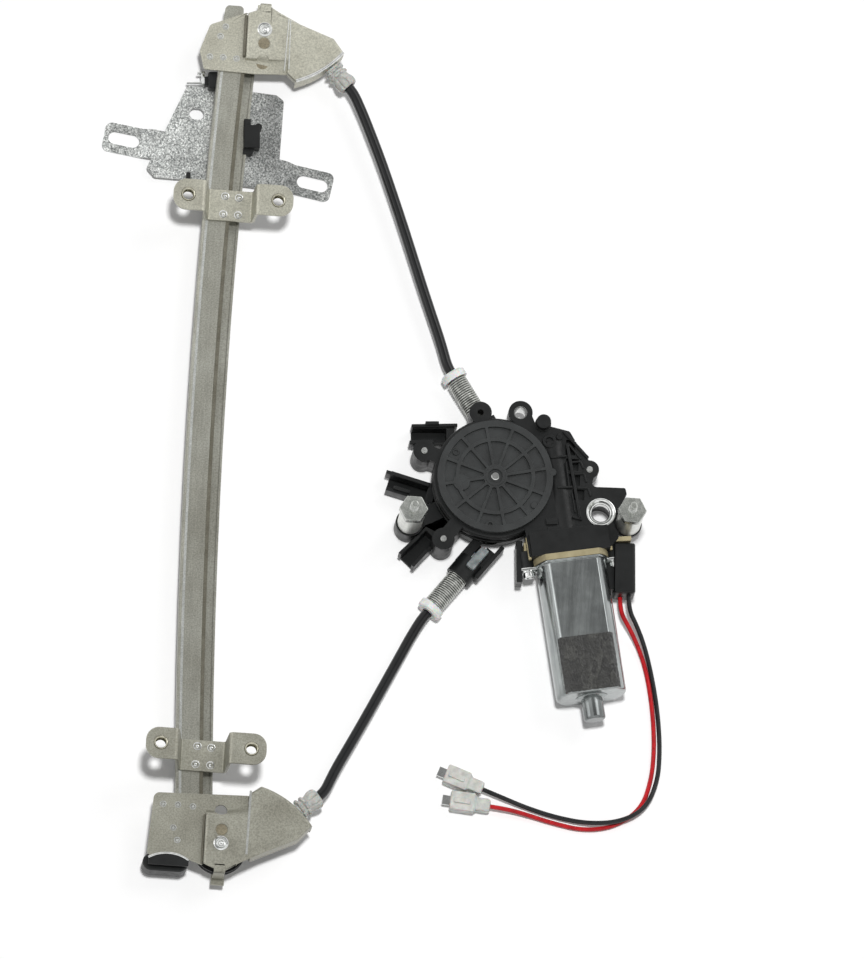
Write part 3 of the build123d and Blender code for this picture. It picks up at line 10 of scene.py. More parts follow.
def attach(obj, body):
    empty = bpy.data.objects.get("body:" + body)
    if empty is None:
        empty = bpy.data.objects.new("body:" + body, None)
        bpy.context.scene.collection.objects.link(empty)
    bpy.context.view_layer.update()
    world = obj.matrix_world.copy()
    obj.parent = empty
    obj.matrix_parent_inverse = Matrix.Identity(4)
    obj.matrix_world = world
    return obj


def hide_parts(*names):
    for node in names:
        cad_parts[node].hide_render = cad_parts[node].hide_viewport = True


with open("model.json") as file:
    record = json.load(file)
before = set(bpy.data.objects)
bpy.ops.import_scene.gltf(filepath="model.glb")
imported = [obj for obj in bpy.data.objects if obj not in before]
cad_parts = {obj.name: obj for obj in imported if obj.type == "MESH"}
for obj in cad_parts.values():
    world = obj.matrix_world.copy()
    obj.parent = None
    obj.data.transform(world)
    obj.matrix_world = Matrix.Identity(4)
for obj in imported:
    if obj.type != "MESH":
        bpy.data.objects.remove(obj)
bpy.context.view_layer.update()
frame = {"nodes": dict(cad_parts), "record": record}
nodes = frame["nodes"]
bodyOf = {n: body for body, members in frame["record"]["behaviour"]["bodies"].items() for n in members}
print("frame loaded:", len(nodes), "nodes")


# helpers: millimetres in, metres out

def mm(x, y, z=0.0):
    return Vector((x, y, z)) * 0.001


def srgb(r, g, b):
    # screen colour 0-255 to the linear colour that a socket takes
    shares = [v / 255 for v in (r, g, b)]
    return (*(v / 12.92 if v <= 0.04045 else ((v + 0.055) / 1.055) ** 2.4 for v in shares), 1.0)


def dimmed(colour, share):
    return (*(share * c for c in colour[:3]), 1.0)


def placed(x, y, z=0.0, turn=0.0):
    # a frame at a point, its X turned in plan
    return Matrix.Translation(mm(x, y, z)) @ Matrix.Rotation(math.radians(turn), 4, "Z")


def roundShading(bm, angle=35.0):
    for face in bm.faces:
        face.smooth = True
    for edge in bm.edges:
        edge.smooth = len(edge.link_faces) == 2 and edge.calc_face_angle(0.0) < math.radians(angle)


def meshOf(bm, name):
    mesh = bpy.data.meshes.new(name)
    bm.to_mesh(mesh)
    bm.free()
    return mesh


def intoScene(name, data):
    thing = bpy.data.objects.new(name, data)
    bpy.context.scene.collection.objects.link(thing)
    return thing


def addPiece(name, bm, slot, finish=None, body="base", place=None, replaces=None, angle=35.0):
    # a mesh that rides on its body, in the slot's own finish unless another is given
    if place is not None:
        bmesh.ops.transform(bm, matrix=place, verts=bm.verts)
    roundShading(bm, angle)
    piece = intoScene(name, meshOf(bm, name))
    piece.data.materials.append(finish or finishes[slot])
    soften = piece.modifiers.new("even shading", "WEIGHTED_NORMAL")
    soften.keep_sharp = True
    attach(piece, body)
    if replaces:
        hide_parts(replaces)
    return piece


def everything(bm):
    return bm.verts[:] + bm.edges[:] + bm.faces[:]


def rimOf(bm):
    return [e for e in bm.edges if e.is_boundary]


def vertsOf(geom):
    return [part for part in geom if isinstance(part, bmesh.types.BMVert)]


def facedOut(bm):
    bmesh.ops.recalc_face_normals(bm, faces=bm.faces)


def sealed(bm):
    # fills what is open, then points every face outwards
    bmesh.ops.holes_fill(bm, edges=rimOf(bm), sides=0)
    facedOut(bm)


def turnedShape(profile, steps=32):
    # profile of (along, radius) in mm, spun about X
    bm = bmesh.new()
    points = [bm.verts.new(mm(along, radius)) for along, radius in profile]
    line = [bm.edges.new(pair) for pair in zip(points, points[1:])]
    bmesh.ops.spin(bm, geom=points + line, cent=(0, 0, 0), axis=(1, 0, 0), dvec=(0, 0, 0),
                   angle=2 * math.pi, steps=steps, use_merge=True)
    bmesh.ops.remove_doubles(bm, verts=bm.verts, dist=1e-6)
    facedOut(bm)
    return bm


upright = Matrix.Rotation(math.radians(-90), 4, "Y")  # turns a shape spun about X to stand on Z
sunk = 0.4                                            # mm that trim reaches into what carries it


def stamped(bm, part, place=Matrix.Identity(4)):
    # add a small shape to a larger one
    bmesh.ops.transform(part, matrix=place, verts=part.verts)
    mesh = meshOf(part, "part")
    bm.from_mesh(mesh)
    bpy.data.meshes.remove(mesh)


def gathered(parts):
    # many small shapes as one
    bm = bmesh.new()
    for part in parts:
        stamped(bm, part)
    return bm


def stood(bm, part, x, y, z=0.0, size=1.0):
    # the same for a shape spun about X, stood up at a point in plan
    stamped(bm, part, placed(x, y, z) @ upright @ Matrix.Scale(size, 4))


def bevelSharp(bm, width, segments=2, angle=40.0):
    sharp = [e for e in bm.edges if len(e.link_faces) == 2 and e.calc_face_angle(0.0) > math.radians(angle)]
    bmesh.ops.bevel(bm, geom=sharp, offset=width * 0.001, offset_type="OFFSET", segments=segments,
                    profile=0.5, affect="EDGES", clamp_overlap=False, material=-1)


def slab(corners, low, high, bevel=0.3):
    # a few corners in plan, raised from low to high
    bm = bmesh.new()
    face = bm.faces.new([bm.verts.new(mm(x, y, low)) for x, y in corners])
    grown = bmesh.ops.extrude_face_region(bm, geom=[face], use_keep_orig=True)["geom"]
    bmesh.ops.translate(bm, verts=vertsOf(grown), vec=mm(0, 0, high - low))
    facedOut(bm)
    bevelSharp(bm, bevel)
    return bm


def boxed(along, across, rise, bevel=0.3):
    # a block between the two ends given for each direction
    (start, stop), (near, far) = along, across
    return slab([(start, near), (stop, near), (stop, far), (start, far)], *rise, bevel)


def boxedPair(bm, sizes, bevel, place=Matrix.Identity(4)):
    # the same block on both sides of the middle line
    along, (near, far), rise = sizes
    for across in ((near, far), (-far, -near)):
        stamped(bm, boxed(along, across, rise, bevel), place)


def barBetween(a, b, width, low, high, bevel=0.3):
    length, turn = math.dist(a, b), math.degrees(math.atan2(b[1] - a[1], b[0] - a[0]))
    bm = boxed((0, length), (-width / 2, width / 2), (low, high), bevel)
    bmesh.ops.transform(bm, matrix=placed(a[0], a[1], 0, turn), verts=bm.verts)
    return bm


def looped(profile, steps=48):
    # a ring: the profile is closed and stays off the axis
    return turnedShape(list(profile) + [profile[0]], steps)


def pinShape(radius, low, high):
    soft = 0.25
    side = [(low, 0.0), (low, radius), (high - soft, radius)]
    return turnedShape(side + [(high, radius - soft), (high, 0.0)])


def eyeletShape(outer, inner, low, high):
    soft = 0.2
    outside = [(low, inner), (low, outer), (high - soft, outer)]
    return looped(outside + [(high, outer - soft), (high, inner + soft), (high - soft, inner)], 32)


# materials

def setSockets(tree, node, inputs):
    # each socket takes a link or a fixed value
    for name, value in inputs.items():
        if isinstance(value, bpy.types.NodeSocket):
            tree.links.new(value, node.inputs[name])
        else:
            node.inputs[name].default_value = value
    return node


def addNode(tree, kind, inputs=None):
    return setSockets(tree, tree.nodes.new("ShaderNode" + kind), inputs or {})


class Paint:
    # one material with its shader and object coordinates
    def __init__(self, name):
        self.material = bpy.data.materials.new(name)
        self.material.use_nodes = True
        self.tree = self.material.node_tree
        self.shader = self.tree.nodes["Principled BSDF"]
        self.place = self.add("TexCoord").outputs["Object"]

    def add(self, kind, inputs=None):
        return addNode(self.tree, kind, inputs)

    def show(self, node):
        setSockets(self.tree, self.tree.nodes["Material Output"], {"Surface": node.outputs[0]})

    def stretched(self, scale, turn=0.0):
        turned = (0, 0, math.radians(turn))
        return self.add("Mapping", {"Scale": scale, "Rotation": turned, "Vector": self.place}).outputs[0]

    def clouds(self, size, detail=3.0, rough=0.55, where=None):
        # noise whose features are about size mm
        look = {"Scale": 1000.0 / size, "Detail": detail, "Roughness": rough, "Vector": where or self.place}
        return self.add("TexNoise", look).outputs["Fac"]

    def cells(self, size, output="Color"):
        return self.add("TexVoronoi", {"Scale": 1000.0 / size, "Vector": self.place}).outputs[output]

    def ramp(self, value, *stops):
        node = self.add("ValToRGB", {"Fac": value})
        band = node.color_ramp
        while len(band.elements) < len(stops):
            band.elements.new(0.5)
        for element, (position, colour) in zip(band.elements, stops):
            element.position = position
            element.color = colour if isinstance(colour, tuple) else (colour, colour, colour, 1.0)
        return node.outputs["Color"]

    def between(self, value, low, high):
        # a soft run from one to the other over the middle of a noise
        return self.ramp(value, (0.3, low), (0.7, high))

    def tinted(self, value, dark, light):
        return self.between(value, srgb(*dark), srgb(*light))

    def blended(self, a, b, share, kind="MIX"):
        node = self.add("Mix", {0: share, 6: a, 7: b})   # 6 and 7 are the colours
        node.data_type = "RGBA"
        node.blend_type = kind
        return node.outputs[2]

    def paintedShadeAlong(self, colour, foot, axis="Y", low=-0.21, high=0.21):
        # painted shade: the tone falls from full at high to the foot's share at low
        along = self.add("SeparateXYZ", {0: self.place}).outputs[axis]
        span = {"Value": along, "From Min": low, "From Max": high, "To Min": foot, "To Max": 1.0}
        return self.blended(colour, self.add("MapRange", span).outputs[0], 1.0, "MULTIPLY")

    def broken(self, width):
        # edges catch the light as if rounded to this many mm
        node = self.add("Bevel", {"Radius": width * 0.001})
        node.samples = 6
        return node.outputs["Normal"]

    def relief(self, height, strength, depth, under=None):
        bump = {"Strength": strength, "Distance": depth * 0.001, "Height": height}
        if under is not None:
            bump["Normal"] = under
        return self.add("Bump", bump).outputs["Normal"]

    def finish(self, colour, roughness, normal, **fixed):
        names = {"metallic": "Metallic", "specular": "Specular IOR Level", "subsurface": "Subsurface Weight",
                 "depth": "Subsurface Scale", "transmission": "Transmission Weight"}
        look = {"Base Color": colour, "Roughness": roughness, "Normal": normal}
        look.update({names[key]: value for key, value in fixed.items()})
        setSockets(self.tree, self.shader, look)
        return self.material


def sheetMetal(name, dark, light, rough, metallic, patch, grain, specks, foot, roll=None, edge=0.0):
    # plated sheet: soft cloudy tone, fine grain, small stains and rolling marks, and painted shade that
    # darkens it towards -Y
    paint = Paint(name)
    tone = paint.tinted(paint.clouds(patch, 4.0), dark, light)
    fine = paint.ramp(paint.clouds(grain, 3.0, 0.65), (0.36, 0.72), (0.64, 1.08))
    tone = paint.blended(tone, fine, 1.0, "MULTIPLY")
    stain = paint.ramp(paint.clouds(3.2, 5.0, 0.7), (0.60, 0.0), (0.72, specks))
    tone = paint.blended(tone, dimmed(srgb(*dark), 0.5), stain)
    if roll is not None:
        marks = paint.clouds(1.1, 3.0, 0.6, paint.stretched((1.0, 0.06, 1.0), roll))
        tone = paint.blended(tone, paint.between(marks, 0.84, 1.06), 0.8, "MULTIPLY")
    shine = paint.between(paint.clouds(patch * 0.5, 4.0), *rough)
    surface = paint.relief(paint.clouds(grain, 3.0), 0.3, 0.05, paint.broken(edge) if edge else None)
    # painted shade: the tone darkens towards -Y down to the foot's share
    return paint.finish(paint.paintedShadeAlong(tone, foot), shine, surface, metallic=metallic)


def spangledSheet(name, dark, light):
    # hot-dip zinc: small crystal patches of their own tone, mottled, with painted shade darker towards the
    # right
    paint = Paint(name)
    crystals = paint.cells(0.62)
    tone = paint.ramp(crystals, (0.15, srgb(*dark)), (0.85, srgb(*light)))
    mottle = paint.ramp(paint.clouds(0.9, 5.0, 0.75), (0.40, 0.42), (0.58, 1.25))
    bloom = paint.ramp(paint.clouds(16.0, 4.0), (0.35, 0.62), (0.65, 1.04))
    for layer in (mottle, bloom):
        tone = paint.blended(tone, layer, 1.0, "MULTIPLY")
    # painted shade: darker towards the right
    tone = paint.paintedShadeAlong(tone, 0.62, "X", -0.050, -0.082)
    shine = paint.ramp(crystals, (0.1, 0.3), (0.9, 0.5))
    return paint.finish(tone, shine, paint.relief(paint.clouds(0.8, 4.0), 0.4, 0.08), metallic=0.7)


def turnedMetal(name, dark, light, rough=(0.2, 0.36), metallic=0.9, mark=0.35):
    # machined or drawn metal with faint tool marks
    paint = Paint(name)
    tone = paint.tinted(paint.clouds(2.5, 4.0), dark, light)
    marks = paint.clouds(mark, 2.0, 0.5, paint.stretched((0.15, 0.15, 1.6)))
    shine = paint.between(paint.clouds(1.6, 3.0), *rough)
    return paint.finish(tone, shine, paint.relief(marks, 0.2, 0.04), metallic=metallic)


def mouldedPlastic(name, dark, light, rough=(0.36, 0.55), grain=0.35, patch=9.0, relief=0.35, specular=0.3,
                   dust=0.0, edge=0.0):
    # moulded plastic: spark-eroded grain, slightly cloudy, light rub marks and dust
    paint = Paint(name)
    tone = paint.tinted(paint.clouds(patch, 4.0, 0.6), dark, light)
    if dust > 0:
        dusty = paint.ramp(paint.clouds(1.1, 5.0, 0.75), (0.58, 0.0), (0.76, dust))
        tone = paint.blended(tone, dimmed(srgb(*light), 3.0), dusty)
    shine = paint.between(paint.clouds(patch * 0.4, 4.0), *rough)
    surface = paint.relief(paint.clouds(grain, 3.0), relief, 0.05, paint.broken(edge) if edge else None)
    return paint.finish(tone, shine, surface, specular=specular)


def nylon(name, dark, light, subsurface=0.35, transmission=0.0):
    # natural nylon: milky, a little see-through
    paint = Paint(name)
    tone = paint.tinted(paint.clouds(2.6, 4.0), dark, light)
    shine = paint.between(paint.clouds(1.4, 3.0), 0.3, 0.46)
    return paint.finish(tone, shine, paint.relief(paint.clouds(0.5, 2.0), 0.15, 0.04),
                        subsurface=subsurface, depth=0.0015, transmission=transmission)


def canSteel(name):
    # bright plated deep-drawn steel: drawing marks along the can, dull stains, fine scratches, painted shade
    # on the closed end
    paint = Paint(name)
    streaks = paint.clouds(2.2, 4.0, 0.6, paint.stretched((1.0, 0.05, 1.0), 11.5))
    scratches = paint.clouds(0.7, 3.0, 0.6, paint.stretched((0.12, 1.0, 1.0), 40.0))
    tone = paint.tinted(paint.clouds(24.0, 2.0, 0.5), (150, 154, 154), (180, 185, 184))
    tone = paint.blended(tone, paint.between(streaks, 0.66, 1.12), 0.9, "MULTIPLY")
    tone = paint.blended(tone, srgb(206, 210, 210), paint.ramp(scratches, (0.66, 0.0), (0.74, 0.35)))
    stain = paint.ramp(paint.clouds(2.0, 6.0, 0.75), (0.62, 0.0), (0.74, 0.5))
    tone = paint.blended(tone, srgb(84, 88, 89), stain)
    tone = paint.paintedShadeAlong(tone, 0.6, "Y", -0.124, -0.112)   # painted shade: the closed end and its boss are darker
    shine = paint.between(paint.clouds(5.0, 4.0), 0.12, 0.22)
    return paint.finish(tone, shine, paint.relief(streaks, 0.12, 0.03), metallic=0.95)


def creasedTape(name):
    # black cloth tape, wrinkled like leather, with a waxy shine; its cracks are painted shade with a painted
    # highlight beside each
    paint = Paint(name)
    folds = paint.cells(2.2, "Distance")
    creases = paint.clouds(3.4, 5.0, 0.7, paint.stretched((1.0, 0.35, 1.0), 11.5))
    fine = paint.clouds(0.45, 4.0, 0.7)
    tone = paint.tinted(creases, (24, 24, 23), (54, 54, 51))
    tone = paint.blended(tone, paint.between(fine, 0.6, 1.2), 1.0, "MULTIPLY")
    wrinkles = paint.clouds(6.0, 2.0, 0.5, paint.stretched((1.0, 0.4, 1.0), 11.5))
    # painted shade along each crack and a painted highlight beside it; the same lines also bump the surface
    crackShadeAndHighlight = paint.ramp(wrinkles, (0.43, 0.9), (0.48, 0.2), (0.52, 1.9), (0.58, 0.9))
    tone = paint.blended(tone, crackShadeAndHighlight, 1.0, "MULTIPLY")
    normal = paint.relief(crackShadeAndHighlight, 0.5, 0.3, paint.relief(creases, 1.0, 0.9, paint.relief(folds, 0.6, 0.35)))
    return paint.finish(tone, paint.between(fine, 0.22, 0.4), normal, specular=0.6)


def wireCoat(name, dark, light):
    # soft drawn insulation, a little waxy
    paint = Paint(name)
    tone = paint.tinted(paint.clouds(4.0, 3.0), dark, light)
    shine = paint.between(paint.clouds(2.0, 3.0), 0.26, 0.4)
    return paint.finish(tone, shine, paint.relief(paint.clouds(0.8, 2.0), 0.12, 0.03), specular=0.35)


blackTones = (17, 18, 18), (27, 28, 28)
finishes = {
    # painted shade: each sheet finish darkens towards -Y to its foot share, the number after its specks
    "galvanised_rail": sheetMetal("railZinc", (156, 155, 144), (176, 176, 166), (0.36, 0.5), 0.62,
                                  26.0, 0.7, 0.3, 0.85, roll=0.0, edge=0.5),
    "bracket_steel": sheetMetal("bracketZinc", (184, 182, 167), (206, 205, 190), (0.38, 0.52), 0.62,
                                18.0, 0.8, 0.25, 0.64),
    "spangled_zinc": spangledSheet("carrierZinc", (160, 164, 162), (250, 252, 249)),
    "brass_zinc": turnedMetal("yellowZinc", (158, 155, 138), (210, 207, 190), (0.18, 0.32)),
    "bright_steel": turnedMetal("brightSteel", (176, 178, 176), (224, 225, 222), (0.14, 0.28)),
    "turned_steel": turnedMetal("standoffZinc", (160, 163, 158), (192, 194, 189), (0.2, 0.32)),
    "spring_steel": turnedMetal("springWire", (140, 142, 138), (200, 201, 196), (0.2, 0.34)),
    "wire_rope": turnedMetal("ropeWire", (96, 98, 98), (150, 152, 150), (0.3, 0.42)),
    "motor_steel": canSteel("canSteel"),
    "ferrite": mouldedPlastic("ferrite", (52, 52, 54), (70, 70, 72), (0.5, 0.66), 0.4),
    "copper": turnedMetal("copperWinding", (150, 82, 50), (206, 128, 86), (0.24, 0.38)),
    "pulley_plastic": mouldedPlastic("pulleyPlastic", (34, 35, 36), (48, 49, 50), (0.34, 0.48)),
    "black_plastic": mouldedPlastic("housingPlastic", *blackTones, (0.3, 0.5), 0.4, 10.0, 0.45,
                                    dust=0.14, edge=0.4),
    "tan_plastic": mouldedPlastic("cardPlastic", (146, 136, 106), (168, 158, 127), (0.4, 0.55), 0.4, 5.0),
    "white_nylon": nylon("whiteNylon", (206, 208, 206), (236, 237, 234)),
    "grey_nylon": nylon("greyNylon", (96, 102, 104), (140, 146, 146), 0.15),
    "clear_nylon": nylon("clearNylon", (192, 192, 186), (226, 226, 220), 0.3, 0.2),
    "black_rubber": mouldedPlastic("stopRubber", *blackTones, (0.34, 0.5), 0.5, 6.0, 0.4, 0.35),
    "black_sheath": mouldedPlastic("conduitSheath", (12, 13, 14), (22, 23, 24), (0.12, 0.24), 1.2, 12.0,
                                   0.1, 0.35),
    "red_insulation": wireCoat("redInsulation", (158, 18, 26), (196, 30, 36)),
    "black_insulation": wireCoat("blackInsulation", (16, 17, 18), (30, 31, 33)),
}
# finishes of single pieces, beside their slot's own
coverBlack = mouldedPlastic("coverPlastic", (36, 37, 37), (52, 54, 54), (0.4, 0.56), 0.55, 12.0,
                            0.6, 0.4, 0.2)
sleeveZinc = turnedMetal("sleeveZinc", (214, 216, 211), (238, 239, 234), (0.3, 0.44), 0.7)
chrome = turnedMetal("chromeRing", (196, 198, 196), (232, 233, 231), (0.06, 0.14), 1.0, 1.4)
peepTan = sheetMetal("peepTan", (128, 120, 100), (154, 146, 124), (0.4, 0.55), 0.3, 4.0, 0.6, 0.3, 0.9)
# painted shade: a darker copy of the plated sheet, for the rail's groove and the pockets' walls
shadedZinc = sheetMetal("shadedZinc", (104, 101, 88), (124, 121, 108), (0.4, 0.55), 0.5, 8.0, 0.7, 0.3, 0.85)
# painted highlight: a lighter copy of the plated sheet, for clinch rims, creases and the rail's rounded edge
litZinc = sheetMetal("litZinc", (190, 192, 188), (210, 212, 208), (0.3, 0.4), 0.5, 8.0, 0.7, 0.3, 0.8)
ferruleMilk = nylon("ferruleNylon", (152, 153, 149), (198, 199, 194), 0.2)
tapeBlack = creasedTape("creasedTape")
print("finishes made:", len(finishes))

slotOf = {row["node"]: row["material_slot"] for row in frame["record"]["subparts"]}
for node, piece in nodes.items():
    # a CAD mesh stays as it is and only takes its finish
    materials = piece.data.materials
    if not materials:
        materials.append(None)
    for i in range(len(materials)):
        materials[i] = finishes[slotOf[node]]


# camera, floor and light

view = {
    "aim": (34.85, -10.47, 0.0),   # point on the floor at the middle of the frame, mm
    "azimuth": -12.9,
    "elevation": 73.5,
    "roll": 16.5,
    "frameHeight": 0.4603,         # metres seen from top to bottom
    "lens": 1000.0,
    "sensor": 36.0,
}


def makeCamera(v):
    azimuth, elevation, roll = (math.radians(v[k]) for k in ("azimuth", "elevation", "roll"))
    level = Vector((math.cos(azimuth), math.sin(azimuth), 0))
    back = Vector((math.sin(azimuth) * math.cos(elevation), -math.cos(azimuth) * math.cos(elevation),
                   math.sin(elevation)))
    up = back.cross(level)
    side = level * math.cos(roll) + up * math.sin(roll)
    top = up * math.cos(roll) - level * math.sin(roll)
    data = bpy.data.cameras.new("camera")
    data.lens, data.sensor_width = v["lens"], v["sensor"]
    distance = v["frameHeight"] * v["lens"] / v["sensor"]
    data.clip_start, data.clip_end = 1.0, 4 * distance
    camera = intoScene("camera", data)
    turn = Matrix((side, top, back)).transposed().to_4x4()
    camera.matrix_world = Matrix.Translation(mm(*v["aim"]) + back * distance) @ turn
    bpy.context.scene.camera = camera


makeCamera(view)
bpy.context.scene.view_settings.view_transform = "Standard"

studio = {
    "floorHalf": 6.0,
    "floorDrop": -0.0002,  # just under the part, so that no face of it is shared
    "floorTone": 0.88,
    "floorLift": 0.10,     # what the camera sees added to the floor, so that it reads white
    "sky": 0.16,           # soft light from all round
    "lamps": [             # name, place, size in metres, watts, whether reflections see it
        ("key", (-0.02, -0.02, 4.0), 0.45, 132.0, False),
        ("fill", (1.2, 1.0, 1.6), 1.2, 6.0, True),
    ],
    "cards": [             # sheets that only reflections see: place, size, tone
        ("darkCard", (0.25, 0.10, 1.9), 1.05, 0.30),
        ("leftGlow", (-1.7, 0.3, 0.9), 1.0, 2.2),
        ("frontGlow", (0.0, -1.9, 0.9), 1.0, 1.2),
    ],
}


def seenShare(tree):
    # 1 for camera, glossy and transmission rays, 0 for the light itself
    rays = addNode(tree, "LightPath").outputs
    total = rays["Is Camera Ray"]
    for kind in ("Is Glossy Ray", "Is Transmission Ray"):
        either = addNode(tree, "Math", {0: total, 1: rays[kind]})
        either.operation = "MAXIMUM"
        total = either.outputs[0]
    return total


def scaled(tree, value, factor, plus=0.0):
    node = addNode(tree, "Math", {0: value, 1: factor, 2: plus})
    node.operation = "MULTIPLY_ADD"
    return node.outputs[0]


def towardsAim(place):
    # turns a flat thing at this place to face the middle of the frame
    return (Vector(place) - mm(*view["aim"])).to_track_quat("Z", "Y")


def stageSheet(name, half, material, place=Matrix.Identity(4)):
    # a flat square beside the object, not part of it
    bm = bmesh.new()
    bmesh.ops.create_grid(bm, x_segments=1, y_segments=1, size=half, matrix=place)
    sheet = intoScene(name, meshOf(bm, name))
    sheet.data.materials.append(material)
    return sheet


def reflectedCard(name, place, size, tone):
    # seen in reflections alone: it lights nothing and shades nothing
    paint = Paint(name + "Paint")
    paint.show(paint.add("Emission", {"Color": (tone, tone, tone, 1.0)}))
    turn = towardsAim(place).to_matrix().to_4x4()
    card = stageSheet(name, size / 2, paint.material, Matrix.Translation(place) @ turn)
    for kind in ("camera", "diffuse", "transmission", "volume_scatter", "shadow"):
        setattr(card, "visible_" + kind, False)


def makeFloor(s):
    paint = Paint("floorPaint")
    tree, tone = paint.tree, s["floorTone"]
    paper = paint.between(paint.clouds(400.0, 2.0), tone - 0.01, tone)
    setSockets(tree, paint.shader, {"Base Color": paper, "Roughness": 0.9, "Specular IOR Level": 0.1})
    glow = paint.add("Emission", {"Strength": scaled(tree, seenShare(tree), s["floorLift"])})
    paint.show(paint.add("AddShader", {0: paint.shader.outputs[0], 1: glow.outputs[0]}))
    stageSheet("floor", s["floorHalf"], paint.material).location.z = s["floorDrop"]


def makeStudio(s):
    makeFloor(s)
    world = bpy.data.worlds.new("studio")
    world.use_nodes = True
    bpy.context.scene.world = world
    tree = world.node_tree
    strength = scaled(tree, seenShare(tree), 1.0 - s["sky"], s["sky"])
    setSockets(tree, tree.nodes["Background"], {"Color": (1, 1, 1, 1), "Strength": strength})

    for name, place, size, power, reflected in s["lamps"]:
        data = bpy.data.lights.new(name, "AREA")
        data.shape, data.size, data.energy = "DISK", size, power
        lamp = intoScene(name, data)
        lamp.location = place
        lamp.rotation_mode = "QUATERNION"
        lamp.rotation_quaternion = towardsAim(place)
        lamp.visible_glossy = reflected
    for name, place, size, tone in s["cards"]:
        reflectedCard(name, place, size, tone)


makeStudio(studio)
print("camera, floor and light set")


# plugs on the leads

plug = {
    "barrel": ((0.0, 8.2), (-3.3, 3.3), (-2.7, 2.7)), "body": ((7.4, 19.4), (-4.7, 4.7), (-3.3, 3.3)),
    "latch": ((9.6, 17.8), (-1.4, 1.4), (3.0, 4.2)), "shoulder": ((6.6, 8.6), (-4.0, 4.0), (-3.0, 3.0)),
    "blade": ((12.8, 23.2), (-2.4, 2.4), (-0.5, 0.5)),
    "soft": {"barrel": 1.3, "body": 0.8, "latch": 0.4, "shoulder": 1.0},
    "places": {"red": (70.8, -171.8, 3.5, 175.5), "black": (66.9, -163.6, 3.5, 160.7)},
}


def makePlug(colour, p=plug):
    place = placed(*p["places"][colour])
    bm = gathered(boxed(*p[part], soft) for part, soft in p["soft"].items())
    housing = addPiece(colour + "PlugHousing", bm, "clear_nylon", place=place,
                       replaces=colour + "_lead_housing")
    blade = addPiece(colour + "PlugBlade", boxed(*p["blade"], 0.2), "bright_steel", chrome, place=place,
                     replaces=colour + "_lead_terminal")
    return [housing, blade]


plugPieces = {colour: makePlug(colour) for colour in plug["places"]}
print("plugs made")


# supply leads

leads = {
    "radius": 1.1,
    "red": {
        "points": [
            (127.50, -65.08, 9.0), (127.87, -72.07, 9.0), (132.6, -78.6, 6.4), (137.6, -86.6, 2.8),
            (141.8, -96.6, 1.15), (144.8, -109.0, 1.15), (147.0, -122.5, 1.15), (148.2, -137.5, 1.15),
            (147.6, -152.0, 1.15), (143.6, -167.0, 1.15), (131.6, -176.6, 1.15), (117.0, -179.8, 1.15),
            (102.0, -177.4, 1.15), (89.0, -174.2, 1.8), (78.78, -172.43, 3.5), (70.8, -171.8, 3.5),
        ],
        "length": 0.1842,
    },
    "black": {
        "points": [
            (131.30, -64.88, 13.0), (131.66, -71.88, 13.0), (136.2, -78.8, 9.8), (140.6, -87.0, 5.0),
            (144.2, -97.4, 1.8), (147.2, -109.6, 1.15), (149.6, -123.4, 1.15), (151.0, -138.2, 1.15),
            (150.6, -153.0, 1.6), (145.4, -167.4, 3.6), (133.4, -175.2, 4.8), (118.0, -176.6, 2.8),
            (103.0, -174.4, 1.6), (88.4, -170.8, 2.0), (74.45, -166.24, 3.5), (66.9, -163.6, 3.5),
        ],
        "length": 0.1911,
    },
}


def makeLead(colour, radius):
    route = leads[colour]["points"]
    data = bpy.data.curves.new(colour + "Lead", "CURVE")
    data.dimensions = "3D"
    spline = data.splines.new("NURBS")
    spline.points.add(len(route) - 1)
    for point, place in zip(spline.points, route):
        point.co = (*mm(*place), 1.0)
    spline.order_u = 3
    spline.use_endpoint_u = True
    data.resolution_u = 12
    data.bevel_depth = radius * 0.001
    data.bevel_resolution = 4
    data.use_fill_caps = True
    data.materials.append(finishes[colour + "_insulation"])
    piece = intoScene(colour + "Lead", data)
    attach(piece, "base")
    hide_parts("lead_" + colour)


for colour in ("red", "black"):
    makeLead(colour, leads["radius"])
print("leads laid")


# housings, brackets and sheet parts with broken edges

softEdges = {
    # node: bevel width in mm
    "upper_pulley_bracket": 0.35, "lower_pulley_bracket": 0.35,
    "upper_mounting_strap": 0.35, "lower_mounting_strap": 0.35, "carrier_plate": 0.35,
    "stop_bumper": 0.6, "drum_housing": 0.35, "gear_cover": 0.25,
    "standoff_sleeves": 0.35, "standoff_studs": 0.35, "motor_can": 0.5,
    "connector_block": 1.2, "upper_back_plate": 0.25, "lower_back_plate": 0.25,
    "upper_spring_cap": 0.3, "lower_spring_cap": 0.3,
}


